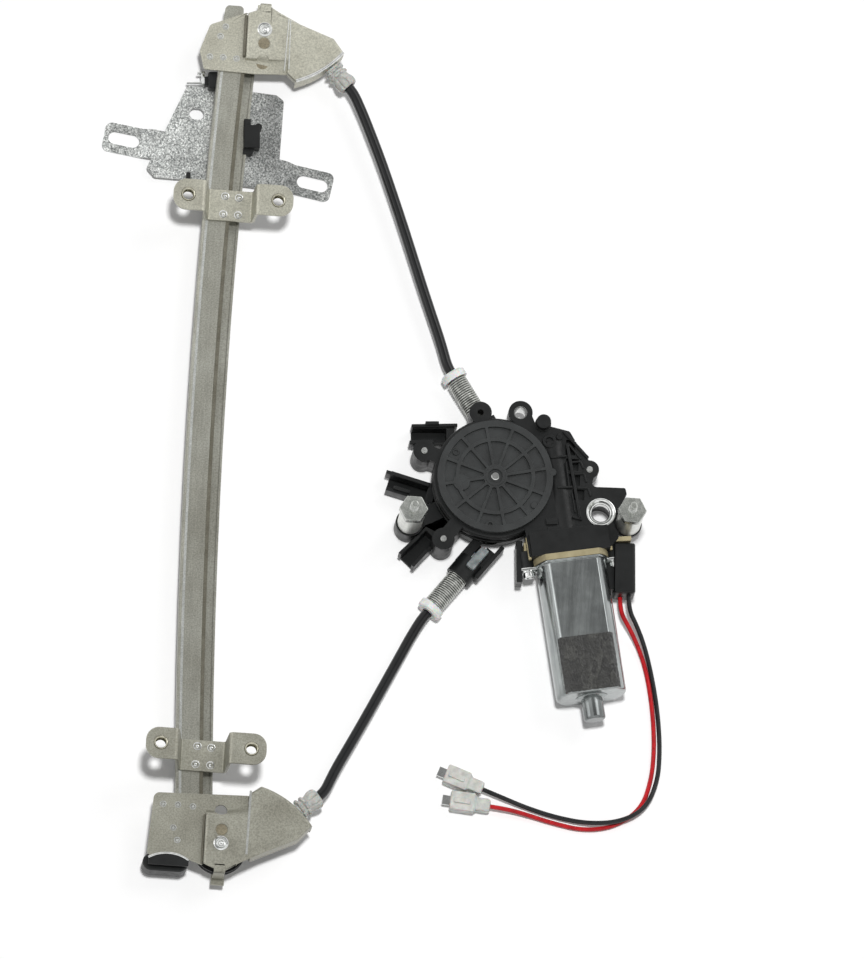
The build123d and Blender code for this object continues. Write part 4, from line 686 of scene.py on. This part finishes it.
bracket = {
    # pulley's place; marks, discs and creases are counted from it in the bracket's own frame, mm
    "upper": {
        "x": -58.569, "y": 202.6, "side": 1,
        "clinches": [(-18.6, 1.5), (-20.9, -3.5), (-25.4, -14.1), (-19.0, -14.0), (-12.6, -14.2)],
        "discs": [(0.0, -6.8, 19.4), (0.0, -16.6, 15.0)],
        "creases": [((10.5, -19.8), (11.3, 6.0), 0.6), ((12.6, -19.0), (12.2, 5.6), 0.6)],
        "endEdge": ((3.4, 11.0), (11.5, 6.3)), "tab": (8.5, 13.2),
        "slope": {"spans": [(-8.0, 11.8)], "foot": -14.8, "rise": 2.5, "near": 0.9, "far": 5.4},
        "leftWall": ((-9.1, -13.4), (-9.1, 7.4), 1.3),
    },
    "lower": {
        "x": -57.893, "y": -203.8, "side": -1,
        "clinches": [(-28.4, -18.7), (-21.3, -18.8), (-14.1, -18.4), (-22.9, -7.3), (-20.7, -1.3)],
        "discs": [(0.0, -6.8, 19.4)],
        "creases": [((12.9, -27.0), (12.4, 4.6), 1.1)],
        "endEdge": ((4.0, 12.4), (14.5, 5.9)), "tab": (9.9, 14.6),
        "slope": {"spans": [(-7.6, -3.8), (2.6, 12.4)], "foot": -15.4, "rise": 1.5, "near": 2.2, "far": 6.0},
        "leftWall": ((-8.5, -14.4), (-8.5, 9.6), 0.9),
    },
}
tab = {"half": 2.7, "sheet": 1.2, "clear": 0.05, "reach": 9.0}   # clear and reach bound what is cut off


def inBracket(side, x, y):
    # plan place of a point given in the bracket's own frame
    b = bracket[side]
    return b["x"] + x, b["y"] + b["side"] * y


def withoutTab(bm, side):
    # cuts the folded tab off along the pocket's open end; it is set on the middle line with the trim
    first, second = (mm(*inBracket(side, *corner)) for corner in bracket[side]["endEdge"])
    along = (second - first).normalized()
    outward = Vector((-along.y, along.x, 0.0)) * bracket[side]["side"]
    start = first + outward * tab["clear"] * 0.001
    bmesh.ops.bisect_plane(bm, geom=everything(bm), plane_co=start, plane_no=outward)
    middle = mm(*inBracket(side, 0.0, 0.0))
    beyond = []
    for face in bm.faces:
        centre = face.calc_center_median()
        if (centre - start).dot(outward) > 1e-6 and abs(centre.x - middle.x) < tab["reach"] * 0.001:
            beyond.append(face)
    bmesh.ops.delete(bm, geom=beyond, context="FACES")
    bmesh.ops.holes_fill(bm, edges=rimOf(bm), sides=0)


def softened(node, width, stray=1.2):
    # a merged copy of the node's mesh with its sharp edges rounded
    bm = bmesh.new()
    bm.from_mesh(nodes[node].data)
    bmesh.ops.remove_doubles(bm, verts=bm.verts, dist=2e-5)
    if node.endswith("pulley_bracket"):
        withoutTab(bm, node.split("_")[0])
    bmesh.ops.dissolve_limit(bm, angle_limit=math.radians(1.0), verts=bm.verts, edges=bm.edges)
    shell = BVHTree.FromBMesh(bm)
    bevelSharp(bm, width)
    for vert in bm.verts:   # a bevel's point that strayed off the sheet goes back to it
        near, _, _, gap = shell.find_nearest(vert.co)
        if gap > stray * width * 0.001:
            vert.co = near
    finish = {"gear_cover": coverBlack, "standoff_sleeves": sleeveZinc}.get(node)
    addPiece(node + "_body", bm, slotOf[node], finish, bodyOf[node], replaces=node)


for node, width in softEdges.items():
    softened(node, width)
print("edges softened:", len(softEdges))


# tension springs

spring = {
    "outer": 5.1, "wire": 0.5, "length": 24.0, "turns": 20.5, "steps": 24, "sides": 8,
    "cap": 4.2, "z": 6.3,
    "places": {"upper": (41.1, 41.4, -56.0), "lower": (35.6, -78.7, 53.4)},
}


def makeSpring(side, s=spring):
    x, y, turn = s["places"][side]
    bm = bmesh.new()
    bmesh.ops.create_circle(bm, segments=s["sides"], radius=s["wire"] * 0.001)
    first = mm(s["cap"] + s["wire"], s["outer"] - s["wire"])
    bmesh.ops.translate(bm, verts=bm.verts, vec=first)
    total = round(s["turns"] * s["steps"])
    rise = (s["length"] - 2 * s["wire"]) * 0.001 / total
    bmesh.ops.spin(bm, geom=bm.verts[:] + bm.edges[:], cent=(0, 0, 0), axis=(1, 0, 0), dvec=(rise, 0, 0),
                   angle=2 * math.pi * s["turns"], steps=total)
    sealed(bm)
    addPiece(side + "Spring", bm, "spring_steel", place=placed(x, y, s["z"], turn),
             replaces=side + "_tension_spring", angle=60)


for side in spring["places"]:
    makeSpring(side)
print("springs wound")


# ribbed ferrules where the conduits meet the brackets

ferrule = {
    "z": 9.9, "steps": 64, "notches": 9, "notchDepth": 0.14, "notchShare": 0.24,
    "ribsFrom": 2.2, "ribsOutside": 4.5,   # notches are only this far along and out
    "profile": [(-2.9, 2.2), (-2.9, 4.7), (-2.7, 5.1), (-2.0, 5.1), (-1.9, 3.7), (2.1, 3.7), (2.3, 4.8),
                (2.6, 5.2), (3.4, 5.2), (3.7, 4.8), (3.9, 4.1), (4.7, 4.0), (5.0, 4.7), (5.3, 5.1),
                (6.2, 5.1), (6.5, 4.6), (6.9, 4.2), (7.8, 4.3), (9.6, 5.0), (10.4, 5.2), (12.4, 5.1),
                (13.3, 4.6), (13.6, 4.0), (13.4, 3.0), (12.6, 2.55), (5.0, 2.55), (5.0, 1.0), (0.5, 1.0)],
    "places": {"upper": (-25.37, 189.2, -46.0), "lower": (-22.49, -183.6, 40.0)},
}


def makeFerrule(side, f=ferrule):
    bm = looped(f["profile"], f["steps"])
    for vert in bm.verts:
        turn = math.atan2(vert.co.z, vert.co.y) * f["notches"] / (2 * math.pi)
        along, out = vert.co.x * 1000, math.hypot(vert.co.y, vert.co.z) * 1000
        ribbed = along > f["ribsFrom"] and out > f["ribsOutside"]
        if ribbed and turn - math.floor(turn) < f["notchShare"]:
            vert.co.yz = vert.co.yz * (1 - f["notchDepth"])
    x, y, turn = f["places"][side]
    addPiece(side + "Ferrule", bm, "white_nylon", ferruleMilk, place=placed(x, y, f["z"], turn),
             replaces=side + "_ferrule")


for side in ferrule["places"]:
    makeFerrule(side)
print("ferrules ribbed")


# pulley brackets: rivets, tan discs, rims of the clinch marks with a painted highlight, rolled lips, painted
# highlights along the creases and painted shade on the pockets' left walls

pressed = {
    # heights of the bracket's plate and raised pocket, and what is pressed or wedged into them
    "plate": 15.2, "pocket": 19.7, "slopeDrop": 0.04, "creaseRise": 0.22, "wallDrop": 1.6,
    "clinchSize": 0.85,
    "disc": [(-0.6, 0.0), (-0.6, 2.85), (0.0, 2.85), (0.06, 2.6), (0.06, 0.0)],
    "rivet": [(5.6, 0.0), (5.6, 3.3), (5.8, 3.6), (6.1, 3.6), (6.1, 2.5), (19.7, 2.5), (19.7, 3.3),
              (19.85, 3.6), (20.1, 3.55), (20.35, 3.2), (20.3, 2.7), (19.8, 2.35), (19.2, 2.15), (19.0, 1.8),
              (19.1, 1.4), (19.5, 1.1), (19.75, 0.6), (19.8, 0.0)],
}
rolledLip = {"centre": (1.09, 20.11), "radius": 46.9, "from": -71.0, "to": -37.5, "tube": 0.85, "z": 18.9,
             "steps": 40}
endLip = {"centre": (-82.4, -226.7), "radius": 17.5, "from": 56.0, "to": 123.0, "tube": 0.7, "z": 15.2,
          "steps": 24}
bumperTop = {"base": 11.4, "spans": 12, "rise": (-1.0, 0.5)}   # its front edge follows the end lip
pit = {
    "rim": [(-0.3, 1.2), (0.0, 1.25), (0.14, 1.4), (0.16, 1.6), (0.08, 1.85), (-0.3, 2.0)],
    "dome": [(-0.4, 0.0), (-0.4, 1.0), (-0.28, 0.9), (-0.12, 0.6), (-0.05, 0.0)],
}


def rimmedPits(bm, places, size):
    for place in places:
        stood(bm, looped(pit["rim"], 24), *place, size)
        stood(bm, turnedShape(pit["dome"], 24), *place, size)


def slopeShape(side, start, stop, steps=(30, 12)):
    # the pocket's foot runs down to the plate, steep at the left wall and gentle at the bend
    slope, plate = bracket[side]["slope"], pressed["plate"]
    pocket = pressed["pocket"] - pressed["slopeDrop"]
    left, right = slope["spans"][0][0], slope["spans"][-1][1]
    bm = bmesh.new()
    bmesh.ops.create_grid(bm, x_segments=steps[0], y_segments=steps[1], size=1.0)
    for vert in bm.verts:
        x = start + (stop - start) * (vert.co.x + 1) / 2
        down = (1 - vert.co.y) / 2
        reach = slope["near"] + (slope["far"] - slope["near"]) * ((x - left) / (right - left)) ** 2
        y = slope["foot"] + slope["rise"] - down * (slope["rise"] + reach)
        z = plate + (pocket - plate) * (1 + math.cos(math.pi * down)) / 2
        vert.co = mm(*inBracket(side, x, y), z)
    rim = bmesh.ops.extrude_edge_only(bm, edges=rimOf(bm))["geom"]
    for vert in vertsOf(rim):
        vert.co.z = (plate - sunk) * 0.001
    sealed(bm)
    return bm


def bracketBar(side, start, stop, *sizes):
    return barBetween(inBracket(side, *start), inBracket(side, *stop), *sizes)


def makeBracketTrim(side, p=pressed):
    b, plate, pocket = bracket[side], p["plate"], p["pocket"]
    addPiece(side + "Rivet", turnedShape(p["rivet"], 40), "bright_steel", chrome,
             place=placed(b["x"], b["y"]) @ upright, replaces=side + "_pulley_rivet")
    clinches, discs = bmesh.new(), bmesh.new()
    rimmedPits(clinches, [(*inBracket(side, x, y), plate) for x, y in b["clinches"]], p["clinchSize"])
    # painted highlight: the clinch marks' rims and domes in a lighter zinc
    addPiece(side + "ClinchMarks", clinches, "bracket_steel", litZinc)
    for x, y, z in b["discs"]:
        stood(discs, turnedShape(p["disc"]), *inBracket(side, x, y), z)
    addPiece(side + "TanDiscs", discs, "tan_plastic", peepTan)
    # painted highlight along the creases
    creases = gathered(bracketBar(side, *crease, pocket - sunk, pocket + p["creaseRise"], 0.2)
                       for crease in b["creases"])
    addPiece(side + "CreaseHighlights", creases, "bracket_steel", litZinc)
    # painted shade on the pocket's left wall
    wall = bracketBar(side, *b["leftWall"], plate - sunk, pocket - p["wallDrop"], 0.4)
    addPiece(side + "ShadedPocketWall", wall, "bracket_steel", shadedZinc)
    foot = gathered(slopeShape(side, *span) for span in b["slope"]["spans"])
    root, reach = b["tab"]
    half, sheet = tab["half"], tab["sheet"]
    seat = max(v.co.z for v in nodes[side + "_back_plate"].data.vertices) * 1000
    for near, low in ((root, pocket - sheet), (reach - sheet, seat)):
        corners = [(-half, near), (half, near), (half, reach), (-half, reach)]
        stamped(foot, slab([inBracket(side, *corner) for corner in corners], low, pocket, 0.35))
    addPiece(side + "PocketFoot", foot, "bracket_steel")


def lipShape(r):
    # a round lip along an arc
    bm = bmesh.new()
    section = placed(r["radius"], 0) @ Matrix.Rotation(math.radians(90), 4, "X")
    bmesh.ops.create_circle(bm, cap_ends=True, segments=16, radius=r["tube"] * 0.001, matrix=section)
    bmesh.ops.transform(bm, matrix=placed(0, 0, 0, r["from"]), verts=bm.verts)
    bmesh.ops.spin(bm, geom=everything(bm), cent=(0, 0, 0), axis=(0, 0, 1), dvec=(0, 0, 0),
                   angle=math.radians(r["to"] - r["from"]), steps=r["steps"])
    facedOut(bm)
    return bm


def makeRolledLips(r=rolledLip, e=endLip, b=bumperTop):
    addPiece("rolledLip", lipShape(r), "bracket_steel", chrome, angle=60,
             place=placed(*inBracket("upper", *r["centre"]), r["z"]))
    addPiece("endLip", lipShape(e), "bracket_steel", chrome, place=placed(*e["centre"], e["z"]), angle=60)
    x, y = e["centre"]
    turns = [math.radians(e["from"] + (e["to"] - e["from"]) * i / b["spans"]) for i in range(b["spans"] + 1)]
    corners = [(x + e["radius"] * math.cos(turn), y + e["radius"] * math.sin(turn)) for turn in turns]
    corners += [(corners[-1][0], y + b["base"]), (corners[0][0], y + b["base"])]
    addPiece("bumperTop", slab(corners, *(e["z"] + rise for rise in b["rise"])), "black_rubber")


for side in bracket:
    makeBracketTrim(side)
makeRolledLips()
print("bracket trim set")


# sliding shoes on the carrier

shoes = {
    "left": [([(-84.2, 182.4), (-79.3, 182.8), (-78.6, 174.4), (-83.6, 174.0)], 4.5, 11.0, 1.0),
             ([(-85.6, 180.4), (-83.8, 180.5), (-83.6, 176.0), (-85.4, 175.9)], 4.5, 9.0, 0.4),
             ([(-91.9, 131.6), (-89.8, 131.7), (-89.6, 127.2), (-91.7, 127.0)], 4.5, 9.4, 0.4)],
    "right": [([(-65.6, 156.9), (-57.8, 157.4), (-57.2, 146.0), (-65.0, 145.4)], 4.5, 11.0, 0.4),
              ([(-65.6, 160.0), (-62.3, 160.1), (-62.1, 156.4), (-65.4, 156.4)], 4.5, 10.6, 0.3),
              ([(-65.2, 145.9), (-59.6, 146.3), (-60.6, 143.0), (-65.2, 142.7)], 4.5, 8.6, 0.3)],
    "lobe": (-58.4, 156.6, 1.7, 4.5, 10.4),
    "clip": [((-89.2, 181.9), (-85.4, 182.3), 1.0, 5.4, 8.8), ((-86.6, 182.4), (-86.0, 176.6), 1.6, 5.0, 8.4),
             ((-94.0, 177.3), (-86.4, 177.9), 0.8, 4.6, 6.2)],
}


def makeShoes(s=shoes):
    for side in ("left", "right"):
        bm = gathered(slab(*block) for block in s[side])
        if side == "right":
            x, y, *size = s["lobe"]
            stood(bm, pinShape(*size), x, y)
        node = {"left": "guide_shoes_left", "right": "guide_shoe_right"}[side]
        addPiece(side + "Shoes", bm, "black_plastic", body=bodyOf[node], replaces=node)
    bm = gathered(barBetween(*bar, 0.25) for bar in s["clip"])
    addPiece("shoeClip", bm, "bright_steel", chrome, bodyOf["guide_shoes_left"])


makeShoes()
print("shoes set")


# painted shade along the rail's groove and a painted highlight along its left edge

rail = {"middle": (-75.9, -5.0), "radius": 3418.0}   # its arc's outermost point


def railX(y, r=rail):
    x, middle = r["middle"]
    return x + r["radius"] - math.sqrt(r["radius"] ** 2 - (y - middle) ** 2)


railLines = {
    # offset from the rail's middle line, width, top, ends along y
    # painted shade in the groove
    "railGrooveShade": (3.15, 1.7, 14.14, (-181.0, 185.0), shadedZinc),
    # painted highlight on the rounded left edge
    "railEdgeHighlight": (-7.0, 1.2, 14.12, (-181.0, 185.0), litZinc),
}


def makeRailLine(name, offset, width, high, ends, finish, steps=80, sheet=0.3):
    bm = bmesh.new()
    bmesh.ops.create_grid(bm, x_segments=1, y_segments=steps, size=1.0)
    for vert in bm.verts:
        y = ends[0] + (ends[1] - ends[0]) * (vert.co.y + 1) / 2
        vert.co = mm(railX(y) + offset + vert.co.x * width / 2, y, high)
    bmesh.ops.solidify(bm, geom=bm.faces[:], thickness=sheet * 0.001)
    facedOut(bm)
    addPiece(name, bm, "galvanised_rail", finish)


for name, line in railLines.items():
    makeRailLine(name, *line)


# mounting straps: threaded nuts and clinch marks

strap = {
    "offset": 3.6, "holes": (-21.2, 22.2), "plate": 15.5, "sheet": 1.5, "markSize": 1.05,
    "nutOuter": 5.2, "thread": (2.6, 2.95), "rim": 3.35, "pitch": 0.75, "turns": 8, "threadTop": 1.4,
    "places": {"upper": (114.4, 14.8), "lower": (-160.1, 18.8)},
    "marks": ((-2.7, 4.6), (4.0, 4.2), (-3.2, -4.4), (4.0, -4.4)),
}


def nutProfile(s=strap):
    # heights are counted from the ear's underside
    (crest, root), outer, rim = s["thread"], s["nutOuter"], s["rim"]
    profile = [(-4.8, root), (-4.8, outer - 0.4), (-4.4, outer), (0.0, outer), (0.0, rim), (1.5, rim),
               (1.85, rim - 0.15), (1.95, rim - 0.4), (1.7, root)]
    for i in range(s["turns"]):
        high = s["threadTop"] - i * s["pitch"]
        profile += [(high, crest), (high - 0.5 * s["pitch"], root)]
    return profile


def makeStrapTrim(s=strap):
    nuts, marks = bmesh.new(), bmesh.new()
    for y, rise in s["places"].values():
        middle = railX(y) + s["offset"]
        for hole in s["holes"]:
            stood(nuts, looped(nutProfile(), 40), middle + hole, y, s["plate"] + rise - s["sheet"])
        places = [(middle + x, y + across, s["plate"]) for x, across in s["marks"]]
        rimmedPits(marks, places, s["markSize"])
    addPiece("weldNuts", nuts, "brass_zinc", replaces="weld_nuts")
    addPiece("strapMarks", marks, "bright_steel", chrome)


makeStrapTrim()
print("nuts threaded")


# standoffs, bush, eye and screws of the drive unit

stud = {"radius": 1.95, "root": 1.6, "inside": 1.2, "pitch": 0.7, "low": 37.2, "turns": 10,
        "places": ((24.5, -36.0), (129.3, -29.0))}


def makeStudThreads(s=stud):
    bm = bmesh.new()
    profile = [(s["low"], s["inside"])]
    for i in range(s["turns"]):
        high = s["low"] + i * s["pitch"]
        profile += [(high, s["root"]), (high + 0.5 * s["pitch"], s["radius"])]
    profile.append((s["low"] + s["turns"] * s["pitch"], s["inside"]))
    for x, y in s["places"]:
        stood(bm, looped(profile, 32), x, y)
    addPiece("studThreads", bm, "turned_steel", chrome)


makeStudThreads()

ring = {
    "bush": {
        "place": (115.4, -26.5), "replaces": "mounting_bush",
        "profile": [(15.0, 4.4), (15.0, 6.2), (19.4, 6.2), (19.4, 7.0), (19.7, 7.15),
                    (20.05, 7.0), (20.2, 6.6), (20.1, 6.2), (19.5, 5.5), (18.9, 5.2),
                    (18.7, 4.9), (18.75, 4.5), (18.5, 4.3)],
    },
    "eyeInsert": {
        "place": (74.4, 20.5), "replaces": None,
        "profile": [(9.4, 2.8), (9.4, 3.38), (19.0, 3.38), (19.2, 3.2), (19.2, 2.95), (19.0, 2.8)],
    },
}
for name, r in ring.items():
    addPiece(name, looped(r["profile"], 64), "bright_steel", chrome, place=placed(*r["place"]) @ upright,
             replaces=r["replaces"])
print("bush and eye set")

cover = {
    "hub": (63.7, -12.9), "foot": 20.4, "hubRing": (4.9, 3.4, 21.6, 22.7),
    # x, y, radius, top
    "pins": [(47.7, -17.0, 4.1, 22.3), (83.1, -25.8, 1.7, 21.9), (91.0, -8.9, 1.9, 22.5)],
    # x, y, outer and inner radius, top
    "eyelets": [(62.5, -37.1, 2.3, 1.0, 22.0), (44.3, -2.0, 1.7, 0.9, 21.6)],
    "axleTip": [(21.4, 0.0), (21.4, 2.0), (22.5, 2.0), (22.8, 1.7), (22.8, 0.0)],
}


def makeCoverMarks(c=cover):
    bm = bmesh.new()
    for x, y, radius, high in c["pins"]:
        stood(bm, pinShape(radius, c["foot"], high), x, y)
    for x, y, outer, inner, high in c["eyelets"]:
        stood(bm, eyeletShape(outer, inner, c["foot"], high), x, y)
    stood(bm, eyeletShape(*c["hubRing"]), *c["hub"])
    addPiece("coverMarks", bm, "black_plastic", coverBlack)
    addPiece("axleTip", turnedShape(c["axleTip"]), "bright_steel", chrome, place=placed(*c["hub"]) @ upright)


makeCoverMarks()

case = {
    "foot": 18.0, "ribFoot": 17.5,   # z of what starts inside the case
    "flange": [(90.2, -35.4), (112.2, -33.2), (112.9, -42.6), (90.6, -47.0)], "flangeRise": (18.9, 19.95),
    "pins": [(85.4, 15.4, 3.5, 25.0), (93.6, 9.4, 1.5, 20.9)],
    "ringScrew": (88.9, 7.0, 3.4, 1.9, 20.6),
    "block": [(89.0, -31.6), (94.2, -31.0), (94.8, -34.2), (89.6, -34.8)], "blockTop": 20.6,
    "ribs": [   # end points in plan, width, top
        ((97.4, 6.4), (105.6, -30.3), 1.5, 21.0), ((95.4, 12.5), (107.9, 0.0), 1.4, 20.6),
        ((98.2, 6.3), (104.6, -0.7), 1.0, 20.3), ((102.1, -29.9), (106.6, -30.8), 1.2, 20.6),
        ((97.4, -2.7), (99.5, -15.1), 0.7, 20.7), ((101.0, -17.8), (103.1, -27.8), 0.7, 20.7),
        ((89.7, -1.3), (97.3, 0.1), 1.1, 21.2), ((93.8, -16.0), (101.0, -15.1), 1.1, 21.2),
    ],
    "pocketWall": (1.0, 20.3),   # width, top
    "pockets": [   # three corners of each U-shaped pocket wall
        ((100.0, -2.6), (104.4, -1.9), (106.0, -5.4)), ((101.6, -8.5), (106.4, -7.8), (107.8, -12.0)),
        ((103.4, -15.3), (108.7, -14.8), (110.1, -18.8)),
    ],
    "cupBeads": [(28.9, 0.9, 15.4), (28.9, 0.8, 18.6), (29.0, 0.8, 9.6)],   # ring radius, bead radius, z
    "lug": [(-8.2, 0.0), (-8.2, 3.9), (0.0, 3.9), (0.0, 0.0)], "lugsAcross": 20.6,
}
motorPlace = placed(102.7, -51.3, 13.0, -78.5)   # the can's mouth, with X along the shaft


def makeCaseDetails(c=case):
    bm = bmesh.new()
    stamped(bm, slab(c["flange"], *c["flangeRise"], 0.25))
    for x, y, radius, high in c["pins"]:
        stood(bm, pinShape(radius, c["foot"], high), x, y)
    x, y, outer, inner, high = c["ringScrew"]
    stood(bm, eyeletShape(outer, inner, c["foot"], high), x, y)
    stamped(bm, slab(c["block"], c["foot"], c["blockTop"]))
    ribs = list(c["ribs"])
    for a, b, corner in c["pockets"]:
        ribs += [(a, b, *c["pocketWall"]), (b, corner, *c["pocketWall"])]
    for a, b, width, high in ribs:
        stamped(bm, barBetween(a, b, width, c["ribFoot"], high))
    for radius, bead, z in c["cupBeads"]:
        turns = [i * math.pi / 6 for i in range(12)]
        loop = [(z + bead * math.sin(turn), radius + bead * math.cos(turn)) for turn in turns]
        stood(bm, looped(loop, 96), *cover["hub"])
    for across in (-c["lugsAcross"], c["lugsAcross"]):
        stamped(bm, turnedShape(c["lug"]), motorPlace @ placed(0, across))
    addPiece("caseDetails", bm, "black_plastic")


makeCaseDetails()
print("case details set")


# cable channels and the lower adjuster

channels = {
    # bars: end points in plan, width, low and high z
    "bars": [((23.0, 12.6), (45.0, 14.6), 1.6, 3.0, 10.6), ((29.5, 14.0), (36.0, 14.5), 1.8, 3.0, 12.2),
             ((22.4, 4.2), (34.0, 5.4), 1.8, 3.0, 11.0), ((12.0, -11.2), (33.0, -16.4), 1.7, 3.0, 11.0),
             ((16.0, -18.6), (24.0, -20.6), 1.5, 3.0, 11.4), ((20.6, -51.6), (29.5, -42.0), 1.7, 3.0, 11.0),
             ((27.0, -57.4), (34.0, -48.6), 1.7, 3.0, 11.4)],
    # the lower adjuster, in the spring's own frame
    "clamp": [(22.6, 5.5), (22.6, 6.2), (22.9, 6.5), (33.5, 6.5), (33.5, 5.5)],
    "bar": ((27.4, 48.0), (-8.2, -6.2), (-4.0, 4.6)), "insert": ((28.4, 41.0), (-4.2, 0.4), (4.0, 8.2)),
}


def makeChannels(c=channels):
    bm = gathered(barBetween(*bar) for bar in c["bars"])
    x, y, turn = spring["places"]["lower"]
    seat = placed(x, y, spring["z"], turn)
    stamped(bm, looped(c["clamp"], 40), seat)
    stamped(bm, boxed(*c["bar"]), seat)
    addPiece("channelBars", bm, "black_plastic")
    addPiece("adjusterInsert", boxed(*c["insert"], 0.8), "grey_nylon", place=seat)


makeChannels()
print("channels set")


# motor: card, ring at the boss, screws and tape

motor = {
    "card": {"radius": 18.4, "half": 12.9, "from": -3.0, "to": 0.0,
             "strip": ((-14.0, -3.0), (19.0, 20.4), (-6.0, 6.0))},
    "bossRing": [(66.4, 5.0), (66.4, 7.8), (67.0, 7.8), (67.4, 7.2), (67.5, 6.4), (67.9, 5.9), (68.0, 5.0)],
    "screw": {"across": 20.6, "washer": [(1.4, 0.0), (1.4, 3.9), (2.1, 3.9), (2.3, 3.6), (2.3, 0.0)],
              "head": [(2.3, 0.0), (2.3, 2.9), (4.0, 2.9), (4.4, 2.5), (4.5, 1.6), (4.0, 1.4), (3.9, 0.0)],
              "shank": [(-8.0, 0.0), (-8.0, 1.5), (1.4, 1.5), (1.4, 0.0)]},
    "tape": {"along": (38.9, 66.3), "across": 13.4, "steps": 110, "thickness": 0.12, "least": 0.06,
             "lift": 0.18, "wrinkle": 0.14, "grain": 0.10, "fray": 0.25,
             "fold": (0.35, 0.9, 1.0), "fine": (1.3, 1.7, 5.0), "edge": (0.8, 0.8, 9.0)},
    "can": {"radius": 17.0, "half": 12.5},
    "ear": ((0.1, 1.5), (12.0, 24.4), (-4.0, 4.0)),
    "neck": {   # corners in plan, low and high z
        "tan_plastic": [([(79.3, -42.9), (84.1, -42.5), (85.2, -54.4), (80.4, -54.8)], 8.0, 15.6),
                        ([(123.0, -37.7), (130.7, -36.7), (130.8, -39.2), (123.1, -40.2)], 9.0, 19.0)],
        "black_plastic": [([(75.9, -42.2), (78.9, -41.9), (80.0, -62.6), (77.0, -62.8)], 5.0, 15.0),
                          ([(119.8, -49.4), (125.4, -49.0), (126.0, -62.5), (120.6, -62.8)], 7.0, 14.4)],
    },
}


def makeCard(m=motor["card"]):
    bm = bmesh.new()
    place = placed((m["from"] + m["to"]) / 2, 0) @ Matrix.Rotation(math.radians(90), 4, "Y")
    radius, half = m["radius"] * 0.001, m["half"] * 0.001
    bmesh.ops.create_cone(bm, cap_ends=True, segments=96, radius1=radius, radius2=radius,
                          depth=(m["to"] - m["from"]) * 0.001, matrix=place)
    for vert in bm.verts:
        vert.co.z = max(-half, min(half, vert.co.z))
    bmesh.ops.remove_doubles(bm, verts=bm.verts, dist=1e-6)
    boxedPair(bm, m["strip"], 0.2)
    addPiece("brushCard", bm, "tan_plastic", place=motorPlace, replaces="brush_card")


def makeMotorScrews(s=motor["screw"]):
    bm = bmesh.new()
    for side in (-s["across"], s["across"]):
        for part in ("washer", "head", "shank"):
            stamped(bm, turnedShape(s[part]), motorPlace @ placed(0, side))
    boxedPair(bm, motor["ear"], 0.3, motorPlace)
    addPiece("canScrews", bm, "bright_steel", chrome, replaces="can_screws")


def canTop(across, c=motor["can"]):
    edge = math.sqrt(c["radius"] ** 2 - c["half"] ** 2)
    return c["half"] if abs(across) < edge else math.sqrt(c["radius"] ** 2 - across ** 2)


def ripple(along, across, kind):
    x, y, z = motor["tape"][kind]
    return noise.noise(Vector((along * x, across * y, z)))


def makeTape(t=motor["tape"]):
    bm = bmesh.new()
    bmesh.ops.create_grid(bm, x_segments=t["steps"], y_segments=t["steps"], size=1.0)
    first, last = t["along"]
    for vert in bm.verts:
        along = (first + last) / 2 + vert.co.x * (last - first) / 2
        across = vert.co.y * t["across"]
        fold, fine, edge = (ripple(along, across, kind) for kind in ("fold", "fine", "edge"))
        height = t["lift"] + t["wrinkle"] * (1 - abs(fold) * 3.0) + t["grain"] * fine
        fray = t["fray"] * edge
        vert.co = mm(along + fray, across + fray, canTop(across) + max(t["least"], height))
    bmesh.ops.solidify(bm, geom=bm.faces[:], thickness=t["thickness"] * 0.001)
    facedOut(bm)
    addPiece("tapePatch", bm, "black_rubber", tapeBlack, place=motorPlace, angle=60)


def makeNeck(pieces=motor["neck"]):
    for slot, slabs in pieces.items():
        bm = gathered(slab(*block, 0.5) for block in slabs)
        addPiece("neck" + slot.split("_")[0].title(), bm, slot)


makeCard()
makeMotorScrews()
makeNeck()
makeTape()
addPiece("bossRing", looped(motor["bossRing"]), "motor_steel", place=motorPlace)
print("motor trimmed")
